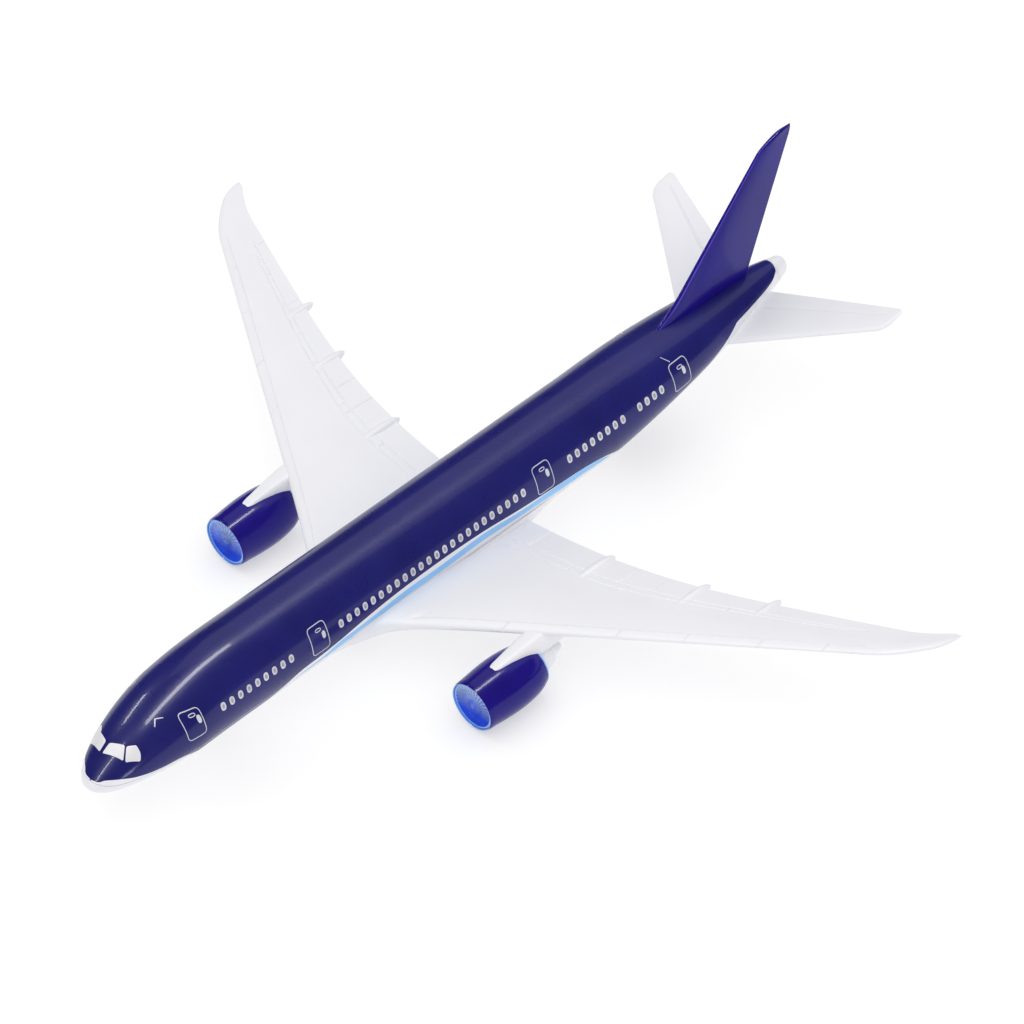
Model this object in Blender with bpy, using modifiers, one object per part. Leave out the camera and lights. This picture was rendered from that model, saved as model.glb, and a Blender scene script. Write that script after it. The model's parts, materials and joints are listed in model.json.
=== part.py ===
"""Desktop airliner model: a twin-engined wide-body with raked wing tips, as a small
screwed-together desk model.

Frame: +X is the model's port side, +Y is aft and +Z is up. The origin is on the table,
under the middle of the model. Lengths are millimetres, and meshes are made in metres.
Heights called "level" are measured from the fuselage axis.
"""

import math

import bmesh
import bpy
from mathutils import Matrix, Vector

MM = 0.001
GAP = 0.3  # clearance between pieces that touch
CLEAR = 20.0  # how far a cutter runs past what it cuts

# Overall
AXIS_Z = 13.0  # fuselage axis above the table, with the nacelles on it
NOSE_Y = -80.0
TAIL_Y = 76.9
FUSELAGE_RADIUS = 7.85
HALF_SPAN = 84.0

# Nose: how far back each line of the section reaches its full size, and its curve
NOSE_TIP_LEVEL = -4.2
NOSE_TOP = (31.2, 2.2, 1.2)
NOSE_BOTTOM = (17.9, 1.05, 2.18)
NOSE_WIDTH = (18.7, 1.5, 2.245)

# Tail cone
TAPER_TOP_Y = 32.0
TAPER_BOTTOM_Y = 30.3
TAIL_END_TOP = 4.8
TAIL_END_BOTTOM = 1.7
TAIL_END_HALF_WIDTH = 1.3

# Shells
WALL = 1.2
PART_LEVEL = -3.15  # parting line between the upper shell and what closes it below
PART_RISE = ((34.5, -3.15), (55.0, 1.0), (60.5, 3.6), (69.5, 3.8))  # and climbs to the tail
TONGUE = ((71.6, 4.0), (73.2, 4.6), (73.9, 5.6))
CAVITY_Y = (-72.0, 58.0)
FAIRING_Y = (-33.0, 18.0)
FAIRING_DEPTH = -9.4
FAIRING_PROUD = 0.7
FAIRING_SIDES = 20
FAIRING_ROUNDNESS = 0.75  # 1 is an ellipse, and less is squarer
FAIRING_SWELL = 1.1  # how gently the fairing grows out of the belly

# Wing
WING_ROOT_X = 4.0
LEADING_ROOT_Y = -27.94  # leading edge produced to the centre line
LEADING_SLOPE = 0.6175
TRAILING_ROOT_Y = 9.5  # inboard trailing edge, square to the fuselage
TRAILING_BASE_Y = -3.0  # outboard trailing edge produced to the centre line
TRAILING_SLOPE = 0.385
TRAILING_BLEND = 3.4
# Size, where, and how fast it dies out along the span
ROOT_FILLET = (1.3, 8.5, 5.0)
ROOT_STRAKE = (5.0, 7.2, 1.4)
RAKE_X = 75.6
RAKE = 0.057
RAKE_TRAILING = 0.034
WING_ROOT_LEVEL = -4.55
DIHEDRAL = 0.0945
ROOT_DROOP = 0.7
DROOP_SPAN = 28.0
WING_THICKNESS = 0.088  # of the chord
WING_LEAST = 0.85
TIP_THICKNESS = 0.6
TIP_LENGTH = 8.0
TIP_CHORD = 0.35  # share of the chord left at the very tip, and how far aft its middle moves
TIP_SHIFT = 0.8
WING_STATIONS = (WING_ROOT_X, 7.2, 8.4, 10.0, 13.0, 17.0, 22.0, 28.0, 34.0, 42.0, 51.0, 62.0, 76.0,
                 79.0, 81.3, 83.0, HALF_SPAN)
# Section: share of the chord, and height in wing thicknesses
WING_UPPER = ((0.0, 0.0), (0.012, 0.2), (0.06, 0.42), (0.18, 0.6), (0.38, 0.62), (0.68, 0.4), (1.0, 0.14))
WING_LOWER = ((1.0, -0.1), (0.68, -0.28), (0.38, -0.38), (0.15, -0.36), (0.04, -0.26))
# Flap track covers: x, y of the tail end, length and radius
FLAP_FAIRINGS = ((25.2, 11.9, 11.0, 1.5), (42.7, 16.1, 10.0, 1.3), (54.6, 20.2, 8.5, 1.15))
COVER_LEVEL = -0.45  # below the wing's own level
COVER_WIDTH = 0.78  # of the radius
COVER_HEIGHT = 0.8
COVER_SHARES = (0.0, 0.08, 0.3, 0.6, 0.85, 0.97, 1.0)
COVER_SIDES = 8
COVER_LEAST = 0.03  # keeps the blunt ends open enough to close with a face

# Tail surfaces
FIN_TOP_LEVEL = 31.0
FIN_BASE_LEVEL = 3.0
FIN_KNEE = (53.5, 11.93)  # where the dorsal curve meets the straight leading edge
FIN_SWEEP = 1.083
FIN_DORSAL = 0.021
FIN_TRAILING = (68.3, 7.0, 0.508)
FIN_THICKNESS = 1.9
FIN_TAPER = 0.55  # of the thickness, from the fuselage axis to the top
FIN_ROUNDING = (29.0, 0.9, 0.12)  # level where the tip rounds off, and how hard at each edge
FIN_LEVELS = (FIN_BASE_LEVEL, 5.5, 7.2, 9.0, FIN_KNEE[1], 18.0, 24.0, 29.0, 30.3, FIN_TOP_LEVEL)
FIN_TAB = ((54.5, 5.4), (66.0, 5.4), (66.0, 8.6), (54.5, 9.6))
STABILISER_TIP_X = 27.1
STABILISER_LEADING = (61.5, 0.725)  # y on the leading edge at x = 11.2, and its slope
STABILISER_TRAILING = (73.5, 0.335)
STABILISER_REF_X = 14.0
STABILISER_LEVELS = (3.0, 4.9)  # leading and trailing edge at the reference x
STABILISER_DIHEDRALS = (0.245, 0.19)
STABILISER_THICKNESS = 1.6
STABILISER_ROUNDING = (26.2, 1.0, 0.6)  # where the tip rounds off, and how hard at each edge
STABILISER_STATIONS = (1.6, 4.0, 8.0, 14.0, 20.0, 26.2, 26.7, STABILISER_TIP_X)
STABILISER_TAB_X = (1.0, 5.6)
STABILISER_TAB_Y = (58.5, 66.5)
TAB_THICKNESS = 1.0
TAIL_SECTION = ((0.0, 0.0), (0.04, 0.3), (0.2, 0.5), (0.55, 0.42), (1.0, 0.14))

# Engines
ENGINE_X = 29.0
ENGINE_LEVEL = -8.1
COWL_OUTER = ((4.15, -24.7), (4.4, -24.3), (4.57, -22.8), (4.82, -19.8), (4.9, -17.6),
              (4.82, -15.4), (4.4, -12.6), (3.7, -10.8))
COWL_INNER = ((3.3, -10.8), (3.3, -20.0), (4.1, -21.5), (4.1, -24.0), (4.0, -24.5))
FAN_PROFILE = ((0.0, -24.6), (0.3, -24.5), (0.5, -24.3), (3.5, -24.3), (3.8, -24.1),
               (3.8, -22.2), (0.0, -22.2))
CORE_PROFILE = ((0.0, -12.4), (2.5, -12.4), (2.5, -10.6), (2.15, -8.6), (1.6, -7.2), (1.1, -6.6),
                (0.5, -4.9), (0.0, -4.6))
# Stations of the pylon: y, top level, bottom level, half width
PYLON = ((-19.7, -3.6, -5.1, 0.55), (-19.2, -3.25, -5.1, 0.85), (-17.0, -2.75, -5.1, 1.1),
         (-13.0, -2.2, -5.1, 1.55), (-10.0, -1.9, -5.9, 1.8), (-6.0, -1.9, -5.9, 1.7),
         (-1.0, -2.0, -5.1, 1.2), (4.0, -2.2, -3.1, 0.5))
PYLON_CROWN = 0.55  # of the half width
PYLON_SHOULDER = 0.5

# Fasteners and stand socket
SCREW_HEAD_RADIUS = 1.7
SCREW_HEAD_HEIGHT = 1.2
SCREW_RADIUS = 0.9
SCREW_TIP_LEVEL = 3.0
BOSS_RADIUS = 2.4
BOSS_TOP_LEVEL = 7.2
SEAT_RADIUS = 3.0  # the belly shells' own posts, under the upper shell's
SEAT_HEIGHT = 0.6
WING_BOSS_LEVEL = PART_LEVEL + 1.0
BELLY_BOSS_LEVEL = PART_LEVEL + 2.2
SCREWS = (("nose_screw", -52.0, -6.6), ("wing_front_screw", -22.0, -8.0),
          ("wing_rear_screw", 11.0, -8.0), ("tail_screw", 37.0, -5.2))
SOCKET_Y = -3.0
SOCKET_BORE = 1.5
SOCKET_RADIUS = 2.9
SOCKET_FLANGE = 4.2
SOCKET_FLANGE_HEIGHT = 0.8
SOCKET_DEPTH = 4.6
WELLS = ((-18.0, -9.0), (3.5, 7.5))  # hollows in the wing's centre block, along y
WELL_HALF_WIDTH = 4.6
WELL_FLOOR = -7.6

NAVY = (0.018, 0.018, 0.09)
VIOLET_BLUE = (0.022, 0.012, 0.22)
WHITE = (0.83, 0.83, 0.88)
FAN_BLUE = (0.12, 0.30, 0.55)
STEEL = (0.55, 0.55, 0.56)


# ---------------------------------------------------------------- scene and helpers


def clear_scene():
    for old in list(bpy.data.objects):
        bpy.data.objects.remove(old, do_unlink=True)


def new_collection(name):
    made = bpy.data.collections.new(name)
    bpy.context.scene.collection.children.link(made)
    return made


def material(name, colour, roughness, metallic=0.0):
    made = bpy.data.materials.new(name)
    made.use_nodes = True
    shader = made.node_tree.nodes["Principled BSDF"]
    shader.inputs["Base Color"].default_value = (*colour, 1.0)
    shader.inputs["Roughness"].default_value = roughness
    shader.inputs["Metallic"].default_value = metallic
    return made


def add_object(name, mesh, collection):
    made = bpy.data.objects.new(name, mesh)
    collection.objects.link(made)
    if collection is CUTTERS:
        made.hide_render = True
        made.display_type = "WIRE"
    return made


def finish(obj, colour, sharp=35):
    """Gives a part its material and smooth shading with sharp edges kept."""
    obj.data.materials.append(colour)
    obj.data.shade_smooth()
    obj.data.set_sharp_from_angle(angle=math.radians(sharp))
    return obj


def loft(name, rings, collection):
    """A closed solid through rings of (x, y, z) that all hold the same number of points."""
    shape = bmesh.new()
    rows = [[shape.verts.new(Vector(point) * MM) for point in ring] for ring in rings]
    count = len(rows[0])
    for near, far in zip(rows, rows[1:]):
        for i in range(count):
            j = (i + 1) % count
            shape.faces.new((near[i], near[j], far[j], far[i]))
    shape.faces.new(rows[0][::-1])
    shape.faces.new(rows[-1])
    bmesh.ops.recalc_face_normals(shape, faces=shape.faces)
    mesh = bpy.data.meshes.new(name)
    shape.to_mesh(mesh)
    shape.free()
    return add_object(name, mesh, collection)


def turned(name, profile, place, collection, closed=False, steps=24):
    """Turns a profile of (radius, y) about an axis along Y through place. It runs from front to
    back on its outer side, which is local top to bottom."""
    mesh = bpy.data.meshes.new(name)
    points = [(radius * MM, 0.0, -y * MM) for radius, y in profile]
    edges = [(i, i + 1) for i in range(len(points) - 1)]
    if closed:
        edges.append((len(points) - 1, 0))
    mesh.from_pydata(points, edges, [])
    made = add_object(name, mesh, collection)
    made.location = Vector(place) * MM
    made.rotation_euler = (math.radians(90), 0, 0)
    screw = made.modifiers.new("turn", "SCREW")
    screw.steps = steps
    screw.render_steps = steps
    screw.use_merge_vertices = True
    screw.merge_threshold = 0.00001
    screw.use_smooth_shade = True
    return made


def upright(name, profile, x, y, collection, steps=20):
    """Turns a profile of (radius, z) about the vertical line through x and y."""
    made = turned(name, [(radius, -z) for radius, z in profile], (x, y, 0), collection, steps=steps)
    made.rotation_euler = (0, 0, 0)
    return made


def slab(name, outline, half_width, x, collection):
    """A flat outline of (y, z) points, extruded along X to both sides of x."""
    curve = bpy.data.curves.new(name, "CURVE")
    curve.dimensions = "2D"
    curve.fill_mode = "BOTH"
    curve.extrude = half_width * MM
    line = curve.splines.new("POLY")
    line.points.add(len(outline) - 1)
    for point, (y, z) in zip(line.points, outline):
        point.co = (y * MM, z * MM, 0, 1)
    line.use_cyclic_u = True
    flat = bpy.data.objects.new(name, curve)
    bpy.context.scene.collection.objects.link(flat)
    bpy.context.view_layer.update()
    graph = bpy.context.evaluated_depsgraph_get()
    mesh = bpy.data.meshes.new_from_object(flat.evaluated_get(graph))
    bpy.data.objects.remove(flat)
    shape = bmesh.new()
    shape.from_mesh(mesh)
    bmesh.ops.remove_doubles(shape, verts=shape.verts, dist=0.000001)
    bmesh.ops.recalc_face_normals(shape, faces=shape.faces)
    shape.to_mesh(mesh)
    shape.free()
    made = add_object(name, mesh, collection)
    made.matrix_world = Matrix(((0, 0, 1, x * MM), (1, 0, 0, 0), (0, 1, 0, 0), (0, 0, 0, 1)))
    return made


def box(name, low, high, collection):
    shape = bmesh.new()
    bmesh.ops.create_cube(shape, size=1.0)
    size = [(b - a) * MM for a, b in zip(low, high)]
    middle = [(a + b) / 2 * MM for a, b in zip(low, high)]
    bmesh.ops.scale(shape, vec=size, verts=shape.verts)
    bmesh.ops.translate(shape, vec=middle, verts=shape.verts)
    mesh = bpy.data.meshes.new(name)
    shape.to_mesh(mesh)
    shape.free()
    return add_object(name, mesh, collection)


def combine(obj, other, operation):
    step = obj.modifiers.new(other.name, "BOOLEAN")
    step.operation = operation
    step.object = other
    step.solver = "EXACT"


def cut(obj, *others):
    for other in others:
        combine(obj, other, "DIFFERENCE")


def join(obj, *others):
    for other in others:
        combine(obj, other, "UNION")


def between(low, high, count, power=1.0):
    return [low + (high - low) * (i / (count - 1)) ** power for i in range(count)]


# ---------------------------------------------------------------- fuselage


def nose_rise(y, length, curve, root):
    """0 at the tip of the nose, 1 where that line of the section has its full size."""
    left = min(max(1.0 - (y - NOSE_Y) / length, 0.0), 1.0)
    return (1.0 - left**curve) ** (1.0 / root)


def taper(y, start, power):
    return min(max((y - start) / (TAIL_Y - start), 0.0), 1.0) ** power


def fuselage_lines(y):
    """Top level, bottom level and half width of the fuselage at y."""
    top = NOSE_TIP_LEVEL + (FUSELAGE_RADIUS - NOSE_TIP_LEVEL) * nose_rise(y, *NOSE_TOP)
    bottom = NOSE_TIP_LEVEL - (FUSELAGE_RADIUS + NOSE_TIP_LEVEL) * nose_rise(y, *NOSE_BOTTOM)
    half_width = FUSELAGE_RADIUS * nose_rise(y, *NOSE_WIDTH)
    top -= (FUSELAGE_RADIUS - TAIL_END_TOP) * taper(y, TAPER_TOP_Y, 2.17)
    bottom += (FUSELAGE_RADIUS + TAIL_END_BOTTOM) * taper(y, TAPER_BOTTOM_Y, 1.05)
    half_width -= (FUSELAGE_RADIUS - TAIL_END_HALF_WIDTH) * taper(y, TAPER_TOP_Y, 2.2)
    cap = TAIL_END_HALF_WIDTH
    closing = math.sqrt(max(1.0 - (max(y - TAIL_Y + cap, 0.0) / cap) ** 2, 0.02))
    middle = (top + bottom) / 2
    return middle + (top - middle) * closing, middle - (middle - bottom) * closing, half_width * closing


def fuselage_ring(y, grow, sides):
    top, bottom, half_width = fuselage_lines(y)
    middle = AXIS_Z + (top + bottom) / 2
    half_height = (top - bottom) / 2 + grow
    half_width += grow
    turns = [2 * math.pi * (i + 0.5) / sides for i in range(sides)]
    return [(half_width * math.cos(t), y, middle + half_height * math.sin(t)) for t in turns]


def fuselage_solid(name, grow, sides, collection):
    nose = [NOSE_Y + step for step in between(0.05, 31.2, 11, 1.9)]
    body = between(-30.0, 30.0, 4)
    tail = between(34.0, TAIL_Y - 1.2, 11) + [TAIL_Y - 0.5, TAIL_Y]
    stations = nose + body + tail
    return loft(name, [fuselage_ring(y, grow, sides) for y in stations], collection)


def fuselage_cavity():
    stations = between(*CAVITY_Y, 14)
    return loft("cavity", [fuselage_ring(y, -WALL, 16) for y in stations], CUTTERS)


def upper_region(name, shift):
    """What lies above the parting line, lowered and lengthened by shift."""
    line = [(NOSE_Y - CLEAR, PART_LEVEL), *PART_RISE]
    outline = [(y, AXIS_Z + level - shift) for y, level in line]
    outline += [(y + shift, AXIS_Z + level - shift / 2) for y, level in TONGUE]
    outline += [(TONGUE[-1][0] + shift, AXIS_Z + CLEAR), (NOSE_Y - CLEAR, AXIS_Z + CLEAR)]
    return slab(name, outline, FUSELAGE_RADIUS + CLEAR, 0, CUTTERS)


def bosses(shell, low, names):
    """Screw posts from a level up to the roof of the upper shell."""
    for name, y, _ in SCREWS:
        if name in names:
            post = [(0, BOSS_TOP_LEVEL), (BOSS_RADIUS, BOSS_TOP_LEVEL), (BOSS_RADIUS, low), (0, low)]
            profile = [(radius, AXIS_Z + level) for radius, level in post]
            join(shell, upright(name + "_post", profile, 0, y, CUTTERS, steps=14))


def screw_hole(y, head_level):
    """A clearance hole for a shank, with a counterbore below it that runs out at the belly."""
    shank = SCREW_RADIUS + GAP
    head = SCREW_HEAD_RADIUS + GAP
    seat = AXIS_Z + head_level + SCREW_HEAD_HEIGHT + GAP
    top = AXIS_Z + SCREW_TIP_LEVEL + GAP
    profile = [(0, top), (shank, top), (shank, seat), (head, seat), (head, -CLEAR), (0, -CLEAR)]
    return upright(f"hole_{y:.0f}", profile, 0, y, CUTTERS, steps=14)


def screw(name, y, head_level):
    seat = AXIS_Z + head_level + SCREW_HEAD_HEIGHT
    face = AXIS_Z + head_level
    tip = AXIS_Z + SCREW_TIP_LEVEL
    profile = [(0, tip), (SCREW_RADIUS * 0.5, tip), (SCREW_RADIUS, tip - 1.0), (SCREW_RADIUS, seat),
               (SCREW_HEAD_RADIUS, seat), (SCREW_HEAD_RADIUS, face + 0.3),
               (SCREW_HEAD_RADIUS - 0.3, face), (0, face)]
    return upright(name, profile, 0, y, PARTS, steps=14)


def upper_shell():
    shell = fuselage_solid("fuselage_upper_shell", 0.0, 28, PARTS)
    combine(shell, upper_region("above_parting", 0.0), "INTERSECT")
    cut(shell, CAVITY)
    bosses(shell, WING_BOSS_LEVEL, ("wing_front_screw", "wing_rear_screw"))
    bosses(shell, BELLY_BOSS_LEVEL, ("nose_screw", "tail_screw"))
    cut(shell, *HOLES, FIN_SOCKET, *TAIL_SOCKETS)
    return finish(shell, material("navy_paint", NAVY, 0.22, 0.3))


def belly_shell(name, y_from, y_to, screw_name):
    """The lower shell between two stations, with its screw post."""
    shell = fuselage_solid(name, 0.0, 28, PARTS)
    cut(shell, LOWER_CLEARANCE)
    wide = FUSELAGE_RADIUS + CLEAR
    region = box(name + "_span", (-wide, y_from, -CLEAR), (wide, y_to, AXIS_Z + CLEAR), CUTTERS)
    cut(shell, CAVITY)
    for part, y, head_level in SCREWS:
        if part == screw_name:
            low = AXIS_Z + head_level + SCREW_HEAD_HEIGHT / 2
            high = AXIS_Z + PART_LEVEL + SEAT_HEIGHT
            post = [(0, high), (SEAT_RADIUS, high), (SEAT_RADIUS, low), (0, low)]
            join(shell, upright(name + "_post", post, 0, y, CUTTERS, steps=14))
    combine(shell, region, "INTERSECT")
    cut(shell, *HOLES, *TAIL_SOCKETS)
    return finish(shell, material(name + "_white", WHITE, 0.35))


# ---------------------------------------------------------------- wing and belly fairing


def leading_edge(x):
    front = LEADING_ROOT_Y + LEADING_SLOPE * x + RAKE * max(x - RAKE_X, 0.0) ** 2
    for size, start, fade in (ROOT_FILLET, ROOT_STRAKE):
        front -= size * math.exp(-max(x - start, 0.0) / fade)
    return front


def trailing_edge(x):
    outboard = TRAILING_BASE_Y + TRAILING_SLOPE * x
    lead = (outboard - TRAILING_ROOT_Y) / TRAILING_BLEND
    smooth = TRAILING_ROOT_Y + TRAILING_BLEND * math.log1p(math.exp(min(lead, 30.0)))
    return smooth + RAKE_TRAILING * max(x - RAKE_X, 0.0) ** 2


def wing_level(x):
    return WING_ROOT_LEVEL + DIHEDRAL * (x - WING_ROOT_X)


def wing_ring(x, grow=0.0):
    """A wing section at x: rounded leading edge, flat-ish underside and thin trailing edge."""
    front = leading_edge(x)
    chord = trailing_edge(x) - front
    thickness = max(WING_THICKNESS * chord, WING_LEAST)
    if x > HALF_SPAN - TIP_LENGTH:
        thickness = TIP_THICKNESS + (thickness - TIP_THICKNESS) * (HALF_SPAN - x) / TIP_LENGTH
    droop = ROOT_DROOP * max(0.0, 1.0 - (x - WING_ROOT_X) / DROOP_SPAN)
    ring = []
    for share, height in WING_UPPER + WING_LOWER:
        y = front - grow + share * (chord + 2 * grow)
        swell = grow if height > 0 else -grow
        z = AXIS_Z + wing_level(x) - droop * share + height * thickness + swell
        ring.append((x, y, z))
    return ring


def wing_solid(name, grow=0.0):
    rings = [wing_ring(x, grow) for x in WING_STATIONS]
    middle_y = (leading_edge(HALF_SPAN) + trailing_edge(HALF_SPAN)) / 2 + TIP_SHIFT
    rings[-1] = [(x, middle_y + (y - middle_y) * TIP_CHORD, z) for x, y, z in rings[-1]]
    return loft(name, rings, CUTTERS)


def flap_fairing(number, x, tail_y, length, radius):
    """A canoe-shaped track cover under the wing, whose tip shows behind the trailing edge."""
    level = wing_level(x) + COVER_LEVEL
    rings = []
    for share in COVER_SHARES:
        swell = math.sqrt(max(1 - (2 * share - 1) ** 2, COVER_LEAST))
        y = tail_y - length * (1 - share)
        width = radius * COVER_WIDTH * swell
        height = radius * COVER_HEIGHT * swell
        turns = [2 * math.pi * i / COVER_SIDES for i in range(COVER_SIDES)]
        rings.append([(x + width * math.cos(t), y, AXIS_Z + level + height * math.sin(t)) for t in turns])
    return loft(f"flap_fairing_{number}", rings, CUTTERS)


def fairing_ring(y):
    """Half-round belly section, with its top edges on the fuselage side at the parting line."""
    start, end = FAIRING_Y
    share = (y - start) / (end - start)
    bulge = math.sin(math.pi * min(max(share, 0.0), 1.0)) ** FAIRING_SWELL
    edge = math.sqrt(1 - (PART_LEVEL / FUSELAGE_RADIUS) ** 2) * FUSELAGE_RADIUS
    edge += FAIRING_PROUD * bulge
    depth = -FUSELAGE_RADIUS + (FAIRING_DEPTH + FUSELAGE_RADIUS) * bulge
    top = PART_LEVEL - GAP
    ring = []
    for i in range(FAIRING_SIDES + 1):
        turn = math.pi * i / FAIRING_SIDES
        side = math.copysign(abs(math.cos(turn)) ** FAIRING_ROUNDNESS, math.cos(turn))
        ring.append((edge * side, y, AXIS_Z + top + (depth - top) * math.sin(turn) ** FAIRING_ROUNDNESS))
    return ring


def wing_piece():
    stations = between(FAIRING_Y[0] + GAP, FAIRING_Y[1] - GAP, 9)
    piece = loft("wing_and_belly_fairing", [fairing_ring(y) for y in stations], PARTS)
    join(piece, wing_solid("wing_half"))
    join(piece, *[flap_fairing(i, *row) for i, row in enumerate(FLAP_FAIRINGS)])
    mirror = piece.modifiers.new("both_sides", "MIRROR")
    mirror.use_axis = (True, False, False)
    mirror.use_bisect_axis = (True, False, False)
    mirror.merge_threshold = 0.00001
    cut(piece, WING_SEAT)
    for i, (y_from, y_to) in enumerate(WELLS):
        low = (-WELL_HALF_WIDTH, y_from, AXIS_Z + WELL_FLOOR)
        high = (WELL_HALF_WIDTH, y_to, AXIS_Z + CLEAR)
        cut(piece, box(f"well_{i}", low, high, CUTTERS))
    cut(piece, *HOLES, socket_pocket(), flange_flat())
    return finish(piece, material("wing_white", WHITE, 0.35))


def wing_seat():
    """The space that the upper shell takes, with clearance."""
    seat = fuselage_solid("wing_seat", GAP, 28, CUTTERS)
    combine(seat, upper_region("seat_region", GAP), "INTERSECT")
    return seat


# ---------------------------------------------------------------- stand socket


def socket_face():
    return AXIS_Z + FAIRING_DEPTH - 0.1


def flange_flat():
    """Levels a round spot on the belly, so that the socket's flange sits flat."""
    low = socket_face() - CLEAR
    high = socket_face() + SOCKET_FLANGE_HEIGHT + GAP
    radius = SOCKET_FLANGE + GAP
    profile = [(0, high), (radius, high), (radius, low), (0, low)]
    return upright("flange_flat", profile, 0, SOCKET_Y, CUTTERS, steps=20)


def socket_pocket():
    high = socket_face() + SOCKET_DEPTH + 2 * GAP
    radius = SOCKET_RADIUS + GAP
    profile = [(0, high), (radius, high), (radius, -CLEAR), (0, -CLEAR)]
    return upright("socket_pocket", profile, 0, SOCKET_Y, CUTTERS, steps=20)


def stand_socket():
    """A flanged bush in the belly that a stand's pin goes into."""
    face = socket_face()
    step = face + SOCKET_FLANGE_HEIGHT
    top = face + SOCKET_DEPTH
    floor = top - 0.9
    profile = [(0, top), (SOCKET_RADIUS, top), (SOCKET_RADIUS, step), (SOCKET_FLANGE, step),
               (SOCKET_FLANGE, face), (SOCKET_BORE, face), (SOCKET_BORE, floor), (0, floor)]
    bush = upright("stand_socket", profile, 0, SOCKET_Y, PARTS, steps=20)
    return finish(bush, material("socket_steel", STEEL, 0.35, 1.0))


# ---------------------------------------------------------------- tail surfaces


def fin_leading(level):
    above = level - FIN_KNEE[1]
    return FIN_KNEE[0] + FIN_SWEEP * above + FIN_DORSAL * min(above, 0.0) ** 3


def fin_trailing(level):
    y, base, slope = FIN_TRAILING
    return y + slope * (level - base)


def tail_section(front, chord, thickness):
    """Symmetric section: (y, half thickness) pairs round the outline."""
    sides = [(front + share * chord, height * thickness) for share, height in TAIL_SECTION]
    return sides + [(y, -height) for y, height in sides[:0:-1]]


def fin():
    rings = []
    round_level, front_round, back_round = FIN_ROUNDING
    for level in FIN_LEVELS:
        front = fin_leading(level)
        back = fin_trailing(level)
        rounding = max(level - round_level, 0.0) ** 2
        front += front_round * rounding
        back -= back_round * rounding
        thickness = FIN_THICKNESS * (1 - FIN_TAPER * level / FIN_TOP_LEVEL)
        section = tail_section(front, back - front, thickness)
        rings.append([(x, y, AXIS_Z + level) for y, x in section])
    piece = loft("vertical_fin", rings, PARTS)
    cut(piece, FUSELAGE_CLEARANCE)
    outline = [(y, AXIS_Z + level) for y, level in FIN_TAB]
    join(piece, slab("fin_tab", outline, TAB_THICKNESS / 2, 0, CUTTERS))
    return finish(piece, material("violet_blue", VIOLET_BLUE, 0.18, 0.2))


def fin_socket():
    (y_from, base), (y_to, _) = FIN_TAB[:2]
    low, high = AXIS_Z + base - GAP, AXIS_Z + CLEAR
    outline = [(y_from - GAP, low), (y_to + GAP, low), (y_to + GAP, high), (y_from - GAP, high)]
    return slab("fin_socket", outline, TAB_THICKNESS / 2 + GAP, 0, CUTTERS)


def stabiliser_edges(x):
    """(y, level) of the leading and the trailing edge at x."""
    out = x - STABILISER_REF_X
    front = (STABILISER_LEADING[0] + STABILISER_LEADING[1] * (x - 11.2),
             STABILISER_LEVELS[0] + STABILISER_DIHEDRALS[0] * out)
    back = (STABILISER_TRAILING[0] + STABILISER_TRAILING[1] * (x - STABILISER_REF_X),
            STABILISER_LEVELS[1] + STABILISER_DIHEDRALS[1] * out)
    return front, back


def stabiliser(name, side):
    rings = []
    round_x, front_round, back_round = STABILISER_ROUNDING
    for x in STABILISER_STATIONS:
        (front, front_level), (back, back_level) = stabiliser_edges(x)
        rounding = max(x - round_x, 0.0) ** 2
        front += front_round * rounding
        back -= back_round * rounding
        thickness = STABILISER_THICKNESS * (1 - 0.5 * x / STABILISER_TIP_X)
        slope = (back_level - front_level) / (back - front)
        section = tail_section(front, back - front, thickness)
        ring = [(side * x, y, AXIS_Z + front_level + slope * (y - front) + z) for y, z in section]
        rings.append(ring[::-1] if side < 0 else ring)
    piece = loft(name, rings, PARTS)
    cut(piece, FUSELAGE_CLEARANCE)
    join(piece, stabiliser_tab(name + "_tab", side, 0.0))
    return finish(piece, material(name + "_white", WHITE, 0.35))


def stabiliser_tab(name, side, grow):
    """The root tab, or with grow the socket that it plugs into."""
    rings = []
    y_from, y_to = STABILISER_TAB_Y
    for x in (STABILISER_TAB_X[0] - grow, STABILISER_TAB_X[1]):
        (front, front_level), (back, back_level) = stabiliser_edges(x)
        slope = (back_level - front_level) / (back - front)
        half = TAB_THICKNESS / 2 + grow
        ring = []
        for y, z in ((y_from - grow, -half), (y_to + grow, -half), (y_to + grow, half), (y_from - grow, half)):
            ring.append((side * x, y, AXIS_Z + front_level + slope * (y - front) + z))
        rings.append(ring)
    return loft(name, rings, CUTTERS)


# ---------------------------------------------------------------- engines


def engine_place(side):
    return (side * ENGINE_X, 0.0, AXIS_Z + ENGINE_LEVEL)


def pylon(side_name, side):
    """The strut between the nacelle's crown and the wing, which widens towards the wing."""
    rings = []
    for y, top, bottom, half in PYLON:
        soft, shoulder = half * PYLON_CROWN, top - PYLON_SHOULDER
        ring = [(-half, bottom), (half, bottom), (half, shoulder), (soft, top), (-soft, top), (-half, shoulder)]
        rings.append([(side * ENGINE_X + x, y, AXIS_Z + level) for x, level in ring])
    strut = loft(side_name + "_pylon", rings, PARTS)
    cut(strut, WING_CLEARANCE, *ENGINE_CLEARANCE[side])
    return finish(strut, material(side_name + "_pylon_white", WHITE, 0.35))


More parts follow.
